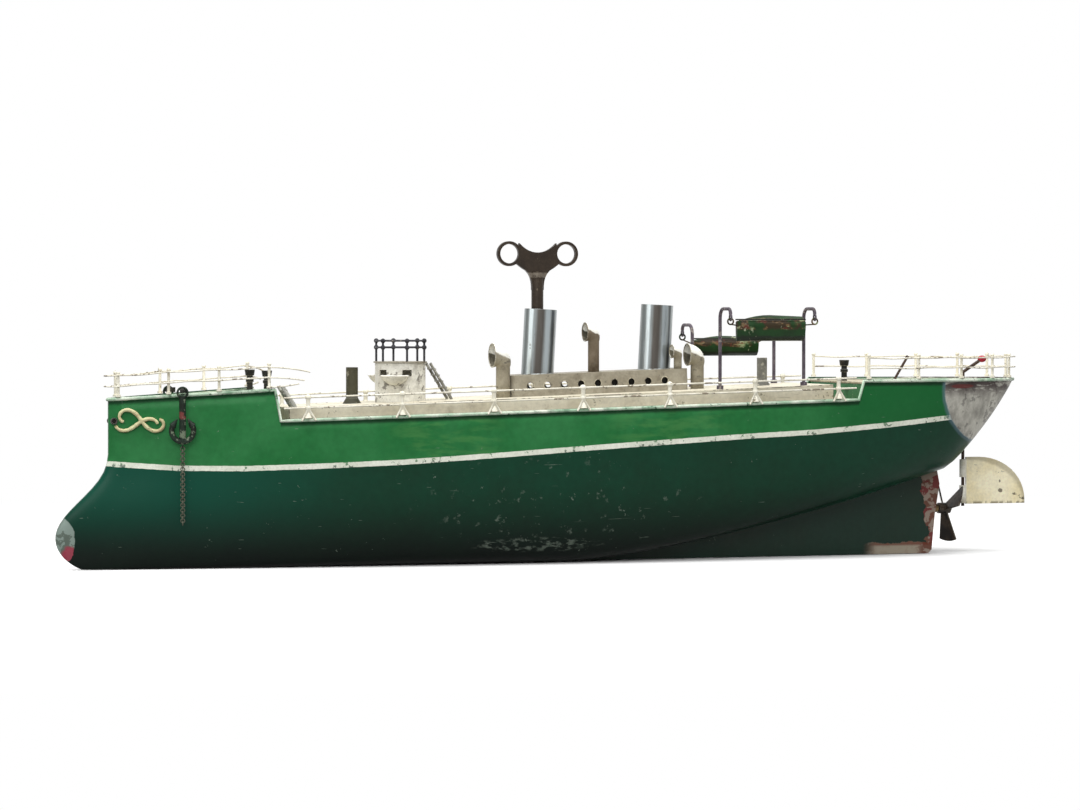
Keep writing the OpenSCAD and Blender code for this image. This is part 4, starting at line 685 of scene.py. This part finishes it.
def cowl(node, name, x, y, foot, top, r, paint):
    neck = top - foot - r * (1 + COWL_SWELL + COWL_GAP + COWL_FLARE)
    rings = cowl_rings(neck, r)
    bm = bmesh.new()
    bmesh.ops.create_grid(bm, x_segments=COWL_SIDES, y_segments=len(rings) - 1, size=1.0)
    hood = bm.verts.layers.float.new("above_hood")
    for vert in bm.verts:
        around = (vert.co.x + 1) * math.pi
        cx, cz, turn, wide = rings[round((vert.co.y + 1) / 2 * (len(rings) - 1))]
        ahead, up = wide * math.cos(around) * math.cos(turn), wide * math.cos(around) * math.sin(turn)
        # How far the point lies above the line where the painted highlight starts
        vert[hood] = (cz + up - neck + 0.4 * (cx + ahead)) / r - HIGHLIGHT_FROM
        vert.co = Vector((x + cx + ahead, y - wide * math.sin(around), foot + cz + up)) * MM
    bmesh.ops.remove_doubles(bm, verts=bm.verts, dist=0.000005)
    bmesh.ops.recalc_face_normals(bm, faces=bm.faces)
    back = max(bm.faces, key=lambda f: f.calc_center_median().x)
    if back.normal.x < 0:
        bmesh.ops.reverse_faces(bm, faces=bm.faces)
    made = show(to_mesh(bm, name, [paint, mouth_paint]), name, "ship", "vent_tan", node)
    wall = made.modifiers.new("cowl_wall", "SOLIDIFY")
    wall.thickness, wall.offset, wall.material_offset = COWL_WALL * MM, -1.0, 1
    cx, cz, turn, wide = rings[-1]
    lip = [(x + cx, y + (wide - 0.2) * math.sin(a), foot + cz + (wide - 0.2) * math.cos(a))
           for a in round_turn(LIP_SIDES)]
    wires(name + "_lip", [lip], LIP_R, "ship", "vent_tan", paint, closed=True)


ROOF_RISE = TRUNK_RISE + HOUSE_H + 0.01
# Each cowl: where it stands, its deck's height above the well's line, how far it is let into the
# deck, its height above it, its radius and its paint
for which, x, y, deck, sunk, height, r, paint in (
        ("fore", -34.9, -11.0, TRUNK_RISE, 0.1, 29.0, 3.8, vent_paint),
        ("house", 18.0, -6.0, ROOF_RISE, 0.1, 26.8, 3.04, brown_paint),
        ("aft", 77.7, -6.0, TRUNK_RISE, 0.1, 24.8, 3.61, vent_paint),
        ("small", 64.5, -11.2, ROOF_RISE, 0.08, 13.2, 2.2, vent_paint)):
    base = well_line(x) + deck
    cowl(which + "_ventilator", which + "_cowl", x, y, base - sunk, base + height, r, paint)

# Bridge. A round tin house with vision slots and a gun tub on each bow, a platform on top with a
# turned railing, and a ladder at its back. Whitish enamel, worn and smoked.
TOWER_X, TUB_R, TUB_Z, TUB_REACH, TUB_ANGLE = -89.0, 7.1, 100.4, 14.1, 118.0
tower_paint = enamel("tower_white", "#e6e4da", "#c2beb1", "#76716a", 0.35, 0.48, 110.0, "#8f8a7f", 0.5)
tower_edge = enamel("tower_white_worn", "#e4e1d6", "#a9a391", "#5e5a53", 0.6, 0.48, 110.0, "#6e675a", 0.4)
rail_dark = enamel("rail_dark", "#2c2c30", "#46454a", "#8a857b", 0.3, 0.45, 200.0, "#1d1c1e", 0.4)
dressed("bridge_tower", "bridge_house", "ship", "bridge_grey", tower_paint, tower_edge, 0.2)
dressed("bridge_platform", "bridge_floor", "ship", "bridge_grey", house_paint, tower_edge, 0.2)
wirework("bridge_railing", "bridge_rails", "ship", "dark_wire", rail_dark)
ladder_paint = enamel("ladder_grey", "#8b8a82", "#605e58", "#b9b6ab", 0.4, 0.5, 160.0)
dressed("bridge_ladder", "bridge_steps", "ship", "bridge_grey", ladder_paint, tower_edge, 0.12)
steps_paint = enamel("ladder_pale", "#c3c3ba", "#9d9c93", "#6f6d66", 0.35, 0.5, 160.0)
dressed("forecastle_ladder", "forecastle_steps", "ship", "bridge_grey", steps_paint, tower_edge, 0.12)
tub_lips = []
for side in (-1, 1):
    a = math.radians(side * TUB_ANGLE)
    cx, cy = TOWER_X + TUB_REACH * math.cos(a), TUB_REACH * math.sin(a)
    tub_lips.append([(cx + TUB_R * math.cos(b), cy + TUB_R * math.sin(b), TUB_Z)
                     for b in (a + math.radians(d) for d in range(-100, 101, 8))])
wires("gun_tub_lips", tub_lips, 0.5, "ship", "bridge_grey", lip_paint)

# Mast sockets. Short tubes soldered to the trunk: the fore one is dark olive, the aft one grey.
olive_paint = enamel("socket_olive", "#3a3a2e", "#4d4a3a", "#8c8878", 0.35, 0.5, 150.0)
grey_paint = enamel("socket_grey", "#77766f", "#54534e", "#a3a093", 0.4, 0.5, 150.0)
dressed("fore_mast_socket", "fore_mast_stub", "ship", "socket_olive", olive_paint, grey_paint, 0.15)
dressed("aft_mast_socket", "aft_mast_stub", "ship", "socket_olive", grey_paint, tower_edge, 0.15)

# Davits and ship's boats. The davits are bent wire with an eye at the tip; each boat is a pressed
# tin shell with a peaked cover, dark green and mottled, hung from two rings.
davit_paint = enamel("davit_plum", "#4a434c", "#6a6068", "#948c86", 0.4, 0.45, 160.0)
wirework("davits", "davit_arms", "ship", "dark_wire", davit_paint)
BOAT_L, BOAT_B, BOAT_H = 38.5, 13.0, 10.0
BOAT_BOW, BOAT_FULL, BOAT_TAPER, EDGE_IN = 2.4, 0.62, 0.18, 0.06
HOOK_X, HOOK_Y, HOOK_Z, DAVIT_PITCH = 82.0, 46.0, 130.3, 48.5


def boat_enamel(name, foot_z, squat):
    made, surface, where = start_material(name)
    height = times(minus(split(where)[2], foot_z * MM), 1000.0 / squat)
    height = scaled(cloud(where, 220.0), 3.0, minus(height, 1.5))
    paint = drifted(where, 120.0, 0.8, "#173a17", "#0c2509")
    # Nearly black along the foot of each boat, painted shade under it, and nearly black along the very top
    # too
    black = most(fade(height, 11.2, 12.2), fade(height, 1.6, 0.4))
    paint = blend(times(black, 0.8), paint, "#12150c")
    band = times(fade(height, 4.0, 5.5), fade(height, 11.5, 9.5))
    patches = cloud(stretched(where, (0.6, 1.0, 1.3)), 190.0, 4.0, 0.6)
    mottle = blend(fade(patches, 0.5, 0.54), "#35271a", "#6b5238")
    mottle = blend(fade(patches, 0.57, 0.6), mottle, "#8f9a72")
    mottle = blend(fade(cloud(where, 260.0, 3.0), 0.58, 0.62), mottle, "#5b2c22")
    where_band = times(band, fade(cloud(where, 110.0, 3.0), 0.4, 0.5))
    paint = blend(times(where_band, 0.9), paint, mottle)
    chips = chipped(where, 480.0, 0.25)
    paint = blend(chips, paint, "#9aa184")
    rough = scaled(cloud(where, 200.0), 0.25, 0.25)
    finish_surface(surface, paint, rough, plus(patches, times(chips, -0.6)), 0.0001, 0.5)
    return made


def boat_edge(s):
    return BOAT_B / 2 * (1 - (1 - s) ** BOAT_BOW) ** BOAT_FULL * (1 - BOAT_TAPER * s**4) - EDGE_IN


boat_iron = enamel("boat_edge_black", "#1b1d18", "#2c2f26", "#77725f", 0.35, 0.4, 200.0)
for side, which, shift, drop, squat in ((-1, "port", -2.4, 0.0, 1.0), (1, "starboard", 6.0, 9.0, 0.8)):
    node, body = "boat_" + which, which + "_boat"
    boat_x = HOOK_X + shift + DAVIT_PITCH / 2
    foot_z = HOOK_Z - BOAT_H - drop
    paint = boat_enamel(node + "_enamel", foot_z, squat)
    dressed(node, node + "_hull", body, "boat_green", paint, boat_iron, 0.0, smooth=38.0)
    gunwales = [[(boat_x + BOAT_L * (s - 0.5), side * HOOK_Y + rail * boat_edge(s), foot_z + BOAT_H * squat)
                 for s in stations(0.02, 1.0, 20)] for rail in (-1, 1)]
    wires(node + "_gunwale", gunwales, 0.4, body, "boat_green", boat_iron)

# Well rail. Cast stanchions astride the rim, each with two balls and splayed legs, and two wires
# through them. All cream, with brown showing where hands have rubbed it.
def rail_point(x, height):
    return (x, hull_half(x, rim_z(x)) - 0.1, rim_z(x) + height)


rail_paint = enamel("rail_cream", "#f1eddd", "#ddd7c1", "#8a7c64", 0.25, 0.42, 110.0, "#a3947a", 0.35)
wire_paint = enamel("wire_cream", "#efebdc", "#cfc9b5", "#7a6d5a", 0.4, 0.45, 130.0, "#7d705d", 0.4)
wirework("well_stanchions", "well_posts", "ship", "rail_cream", rail_paint)
well_runs = []
for height in (5.5, 11.0):
    well_runs += both([rail_point(x, height) for x in stations(WELL_X0 + 1.5, WELL_X1 - 1.5, 50)])
wires("well_wires", well_runs, 0.5, "ship", "rail_cream", wire_paint, "well_rail_wires")

# Forecastle and poop rails. Thin posts soldered to the rim, with two wires run round them outside,
# a little bent by use. The forecastle's wires have come loose at the step and stick out over the well.
END_RAIL_H, WIRE_OUT, RAIL_STEP_X, RAIL_POOP_X = 12.0, 1.25, -167.0, 164.5
wirework("end_stanchions", "end_posts", "ship", "rail_cream", rail_paint)


def beside(x, height, wave):
    ahead, back = rail_point(x + 0.3, 0), rail_point(x - 0.3, 0)
    along = Vector((ahead[0] - back[0], ahead[1] - back[1], 0)).normalized()
    here = Vector(rail_point(x, height)) + WIRE_OUT * Vector((-along.y, along.x, 0))
    return (here.x, here.y, here.z + 0.35 * math.sin(x * 0.19 + wave) * math.sin(x * 0.071 + wave))


end_runs = []
for wave, height in ((0.4, END_RAIL_H * 0.5), (1.9, END_RAIL_H * 0.95)):
    for x0, x1, tip_x, tip_z in ((RAIL_STEP_X, BOW_X + 1.2, BOW_X - 1.6, BOW_RIM),
                                 (RAIL_POOP_X, STERN_X - 2.8, STERN_X - 1.55, POOP_RIM)):
        near = [beside(x0 + (x1 - x0) * math.sin(math.pi / 2 * i / 30), height, wave) for i in range(31)]
        end_runs.append(near + [(tip_x, 0.0, tip_z + height)] + both(near)[1][::-1])
wires("end_wires", end_runs, 0.42, "ship", "rail_cream", wire_paint, "end_rail_wires")
loose = []
for height, length, droop in ((11.4, 23.0, -2.6), (6.0, 20.0, -1.6), (0.9, 17.0, 1.8)):
    start = beside(RAIL_STEP_X - 1.0, height, 0.0)
    for side, share in ((-1, 1.0), (1, 0.45)):
        loose.append([(start[0] + length * share * t, side * (start[1] + 0.6 * t), start[2] + droop * t * t)
                      for t in stations(0.0, 1.0, 4)])
wires("loose_rail_ends", loose, 0.42, "ship", "rail_cream", wire_paint)

# Bow scrolls and hawse pipes. Gilt wire ornament soldered to the bow on both sides, and the black
# collars that the anchor chains once ran through.
SCROLL_R, HAWSE_X, HAWSE_Z = 1.15, -245.5, 77.5


def scroll_path(middle, length, tilt, curl):
    count, points = 60, [Vector((0.0, 0.0))]
    for i in range(count):
        t = (i + 0.5) / count - 0.5
        a = math.radians(tilt + curl * t * t * 4)
        points.append(points[-1] + Vector((math.cos(a), math.sin(a))) * (length / count))
    shift = Vector(middle) - points[count // 2]
    path = []
    for i, point in enumerate(points):
        x, z = point + shift
        swell = 0.7 + 0.24 * math.sin(math.pi * i / count) + 0.06 * math.sin(i * 0.9)
        path.append((x, hull_half(x, z) + SCROLL_R + 0.05, z, swell))
    return path


gilt = enamel("scroll_gilt", "#d3cfa2", "#c7b48a", "#7b6a3e", 0.35, 0.36, 220.0, "#85603f", 0.5)
scrolls = both(scroll_path((BOW_X + 16.4, 77.8), 38.0, -56.0, 225.0))
scrolls += both(scroll_path((BOW_X + 14.0, 75.6), 25.0, 38.0, -110.0))
wires("bow_ornament", scrolls, SCROLL_R, "ship", "scroll_gold", gilt, "bow_scrolls")
black_paint = enamel("iron_black", "#1f201d", "#30312b", "#7a7466", 0.28, 0.42, 160.0, "#3a2f26", 0.4)
dressed("hawse_pipes", "hawse_collars", "ship", "black_iron", black_paint, grey_paint, 0.12)
# Dark rods inside the hawse pipes stand for the shade in the holes: painted shade
hawse_runs = both([(HAWSE_X, hull_half(HAWSE_X + 2, HAWSE_Z) + depth, HAWSE_Z) for depth in (-1.5, 0.35)])
wires("hawse_mouths", hawse_runs, 1.2, "ship", "black_iron", dark_paint, sides=5)

# Bollards, cat brackets, anchors and chains. Turned iron posts on both decks, and an anchor hung by
# its ring from a pin on each side of the bow, with a length of chain below it.
bollard_paint = enamel("bollard_iron", "#1b1c19", "#31322c", "#8f897a", 0.3, 0.42, 200.0)
dressed("bollards", "deck_bollards", "ship", "black_iron", bollard_paint, grey_paint, 0.15)
dressed("cat_brackets", "anchor_pins", "ship", "black_iron", black_paint, grey_paint, 0.12)


def anchor_enamel():
    made, surface, where = start_material("anchor_green_black")
    z = split(where)[2]
    paint = drifted(where, 170.0, 0.9, "#1c2a20", "#12150f")
    red = times(fade(z, 0.0782, 0.079), fade(z, 0.0828, 0.082))
    red = times(red, fade(cloud(where, 320.0), 0.36, 0.48))
    paint = blend(times(red, 0.8), paint, "#7d3f3c")
    chips = chipped(where, 520.0, 0.35)
    paint = blend(chips, paint, "#6f7a66")
    rough = scaled(cloud(where, 260.0), 0.25, 0.3)
    finish_surface(surface, paint, rough, plus(cloud(where, 900.0), times(chips, -1.0)))
    return made


anchor_paint = anchor_enamel()
chain_iron = enamel("chain_iron", "#5f6052", "#494a40", "#8b8878", 0.3, 0.5, 400.0, "#4b4238", 0.4)
for side in ("port", "starboard"):
    body = side + "_anchor"
    dressed("anchor_" + side, body + "_iron", body, "black_iron", anchor_paint, anchor_paint, 0.12,
            smooth=45.0)
    wirework("chain_" + side, side + "_chain_links", body, "dark_wire", chain_iron, 60.0)

# Rudder. A cream tin blade with a round back corner, wrapped in two sleeves round a wire stock,
# which passes up through the counter and is bent over into the tiller, with a red knob on its end.
def rudder_enamel():
    made, surface, where = start_material("rudder_cream")
    x, _, z = split(where)
    paint = drifted(where, 60.0, 0.75, "#fdf4d4", "#efe0b2")
    white = drifted(where, 160.0, 0.9, "#f3f0e4", "#cfc8b2")
    paint = blend(fade(x, 0.2404, 0.2400), paint, white)
    edge = fade(spot(where, 0.08, 150.0, (x, 0.2405, 0.0352), (z, 0.027, 0.0255)), 0.86, 1.0)
    streaks = fade(cloud(stretched(where, (1.0, 1.0, 0.2)), 300.0), 0.42, 0.5)
    low_edge = times(fade(z, 0.0288, 0.0274), streaks)
    rim = most(times(edge, 0.45), times(low_edge, 0.8))
    paint = blend(rim, paint, "#6f6349")
    chips = chipped(where, 420.0, 0.22)
    paint = blend(times(chips, 0.85), paint, "#4b4438")
    for mark_x, mark_z, long, tall in ((0.2607, 0.0342, 0.0016, 0.0012), (0.2604, 0.0395, 0.0006, 0.0009)):
        mark = fade(spot(where, 1.6, 700.0, (x, mark_x, long), (z, mark_z, tall)), 1.1, 0.5)
        paint = blend(times(mark, 0.8), paint, "#3f3326")
    rough = scaled(cloud(where, 200.0), 0.2, 0.34)
    finish_surface(surface, paint, rough, plus(cloud(where, 1000.0, 2.0), times(chips, -1.2)))
    return made


rudder_paint = rudder_enamel()
stock_iron = enamel("stock_brown", "#33261f", "#4a3a30", "#8d8371", 0.3, 0.45, 180.0)
dressed("rudder_blade", "rudder_plate", "rudder", "rudder_cream", rudder_paint, rudder_paint, 0.15)
wirework("rudder_stock", "rudder_spindle", "rudder", "dark_wire", stock_iron)
knob_paint = enamel("knob_red", "#a8253a", "#7d1a2c", "#d8b9a8", 0.25, 0.3, 200.0, "#4a1620", 0.25)
wirework("tiller_knob", "tiller_ball", "rudder", "knob_red", knob_paint)
tube_tin = bare_tin("tube_tin", "#a3a296", "#75705f", (1.0, 1.0, 0.3), 0.45, 0.6, 260.0)
dressed("rudder_tube", "rudder_sleeve", "ship", "tin", tube_tin, tube_tin, 0.1)

# Brake lever. A wire lever through a slot in the poop that stops the propeller shaft.
dressed("brake_lever", "brake_arm", "brake", "dark_wire", stock_iron, stock_iron, 0.1, smooth=45.0)
dressed("lever_bracket", "brake_bracket", "ship", "tin", tube_tin, tube_tin, 0.1)

# Propeller, shaft and stern tube. Three blades of bent sheet on one hub, dark and oily, on a steel
# shaft that runs in a brass tube through the fin.
EVEN, DRAWN = (1.0, 1.0, 1.0), (0.3, 1.0, 1.0)
blade_metal = bare_tin("blade_brown", "#3d3227", "#1d1814", EVEN, 0.4, 0.45, 150.0, "#8d8a80", 0.28)
blade_edge = bare_tin("blade_edge", "#7f786a", "#3a3128", EVEN, 0.4, 0.6, 200.0)
steel = bare_tin("shaft_steel", "#a9adb0", "#6f7072", DRAWN, 0.3, 0.9, 260.0)
brass = bare_tin("clock_brass", "#c7a355", "#8d6f36", EVEN, 0.3, 0.95, 110.0, "#5d4a2c", 0.25)
brass_edge = bare_tin("clock_brass_edge", "#dcbb70", "#a98847", EVEN, 0.3, 0.95, 140.0, "#6d5838", 0.2)
tube_brass = bare_tin("tube_brass", "#7d6844", "#4b3c29", DRAWN, 0.45, 0.7, 180.0)
dressed("propeller", "propeller_fan", "propeller_drive", "black_iron", blade_metal, blade_edge, 0.15)
dressed("propeller_shaft", "propeller_spindle", "propeller_drive", "steel", steel, steel, 0.08)
dressed("stern_tube", "shaft_tube", "ship", "tin", tube_brass, tube_brass, 0.12)

# Clockwork under the deckhouse. Brass plates on pillars, carried by two tin frames in the hull; a
# blued mainspring turns the great wheel, and the train turns the shaft through a crown wheel.
spring_blue = bare_tin("spring_blue", "#46566e", "#2b3442", (1.0, 1.0, 0.2), 0.3, 0.9, 240.0)
frame_tin = bare_tin("frame_tin", "#9a9a90", "#6c6b62", EVEN, 0.45, 0.6, 90.0)
for node, body, slot, metal, edge_metal in (
        ("clockwork_bearers", "ship", "tin", frame_tin, frame_tin),
        ("bottom_plate", "ship", "brass", brass, brass_edge),
        ("top_plate", "ship", "brass", brass, brass_edge),
        ("plate_pillars", "ship", "brass", brass, brass_edge),
        ("plate_screws", "ship", "steel", steel, steel),
        ("mainspring", "ship", "steel", spring_blue, spring_blue),
        ("winding_arbor", "spring_arbor", "steel", steel, steel),
        ("great_wheel", "great_gear", "brass", brass, brass_edge),
        ("click", "great_gear", "steel", steel, steel),
        ("second_wheel", "second_gear", "brass", brass, brass_edge),
        ("contrate_wheel", "contrate_gear", "brass", brass, brass_edge)):
    dressed(node, node + "_cut", body, slot, metal, edge_metal, 0.08, segments=1)

# Winding key. Cast in one with its two finger rings, dark brown and rubbed, on a square socket that
# goes down the fore funnel. A paler band shows where the stem meets the bow.
BAND_Z, BAND_HALF, BAND_SOFT = 154.2, 1.5, 0.4


def key_iron(name, rubbed):
    made, surface, where = start_material(name, 0.4, 0.3)
    z = split(where)[2]
    colour = drifted(where, 90.0, 0.8, "#3a3026", "#241d17")
    band = times(*(fade(z, (BAND_Z + end * BAND_HALF) * MM, (BAND_Z + end * (BAND_HALF - BAND_SOFT)) * MM)
                   for end in (-1, 1)))
    band = times(band, fade(cloud(where, 420.0), 0.3, 0.5))
    colour = blend(times(band, 0.7), colour, "#7d7468")
    worn = chipped(where, 380.0, rubbed)
    colour = blend(times(worn, 0.6), colour, "#6f6453")
    pits = cloud(where, 800.0, 5.0, 0.7)
    rough = scaled(pits, 0.3, 0.28)
    finish_surface(surface, colour, rough, pits, 0.0001, 0.5)
    return made


key_paint, key_rubbed = key_iron("key_iron", 0.2), key_iron("key_iron_rubbed", 0.6)
dressed("winding_key", "key_bow", "key", "black_iron", key_paint, key_rubbed, 0.55, segments=3)

# Studio. The ship stands on a white sweep under one broad overhead light, with a soft fill from the
# camera's side, seen from a little ahead of its port beam at a long focal length.
def seen_rays(tree):
    path = add_node(tree, "LightPath").outputs
    return most(path["Is Camera Ray"], most(path["Is Glossy Ray"], path["Is Transmission Ray"]))


WHITE, BLACK = (1.0, 1.0, 1.0, 1.0), (0.0, 0.0, 0.0, 1.0)
sweep_white, paper, where = start_material("sweep_white", 0.0, 0.0)
seen = seen_rays(paper.id_data)
plain = blend(cloud(where, 3.0), (0.15, 0.15, 0.147, 1.0), (0.165, 0.165, 0.162, 1.0))
spread = {0: stretched(where, (0.8, 1.0, 1.0))}
away = add_node(paper.id_data, "VectorMath", spread, operation="LENGTH").outputs["Value"]
away = times(fade(away, 0.3, 0.75), seen)
feed(paper, {"Base Color": blend(away, blend(seen, plain, WHITE), BLACK), "Roughness": 0.9,
             "Emission Color": WHITE, "Emission Strength": away})
bm = bmesh.new()
bmesh.ops.create_grid(bm, x_segments=2, y_segments=2, size=6.0)
bmesh.ops.translate(bm, verts=bm.verts, vec=(0.0, 0.0, -0.0003))
floor = bpy.data.meshes.new("white_sweep")
bm.to_mesh(floor)
bm.free()
floor.materials.append(sweep_white)
placed("white_sweep", floor)

world = bpy.data.worlds.new("studio_air")
bpy.context.scene.world = world
world.use_nodes = True
glow = scaled(seen_rays(world.node_tree), 0.3, 0.7)
feed(world.node_tree.nodes["Background"], {"Color": WHITE, "Strength": glow})


def softbox(name, place, target, width, depth, power):
    lamp = bpy.data.lights.new(name, "AREA")
    lamp.shape, lamp.size, lamp.size_y, lamp.energy = "RECTANGLE", width, depth, power
    holder = placed(name, lamp)
    holder.location = place
    holder.rotation_euler = (Vector(target) - Vector(place)).to_track_quat("-Z", "Y").to_euler()


softbox("overhead_light", (-0.1, -0.25, 1.5), (0.0, 0.0, 0.05), 1.6, 1.0, 24.0)
softbox("front_fill", (-0.9, -1.6, 0.9), (0.0, 0.0, 0.06), 1.2, 0.8, 13.0)

FOCAL_PX, IMAGE_W, SENSOR_W = 4074.0, 1080.0, 36.0
CAMERA_YAW, CAMERA_DROP = math.radians(18.0), math.radians(1.378)
CAMERA_AWAY, CAMERA_SHIFT, CAMERA_Z = 2.2, -0.0105, 0.137
eye = bpy.data.cameras.new("beam_camera")
eye.lens, eye.sensor_width = FOCAL_PX / IMAGE_W * SENSOR_W, SENSOR_W
eye.clip_start, eye.clip_end = 0.05, 50.0
camera = placed("beam_camera", eye)
across, along, level = math.sin(CAMERA_YAW), math.cos(CAMERA_YAW), math.cos(CAMERA_DROP)
camera.location = (CAMERA_SHIFT - CAMERA_AWAY * across, -CAMERA_AWAY * along, CAMERA_Z)
gaze = Vector((across * level, along * level, -math.sin(CAMERA_DROP)))
camera.rotation_euler = gaze.to_track_quat("-Z", "Y").to_euler()
bpy.context.scene.camera = camera
bpy.context.scene.view_settings.view_transform = "Standard"
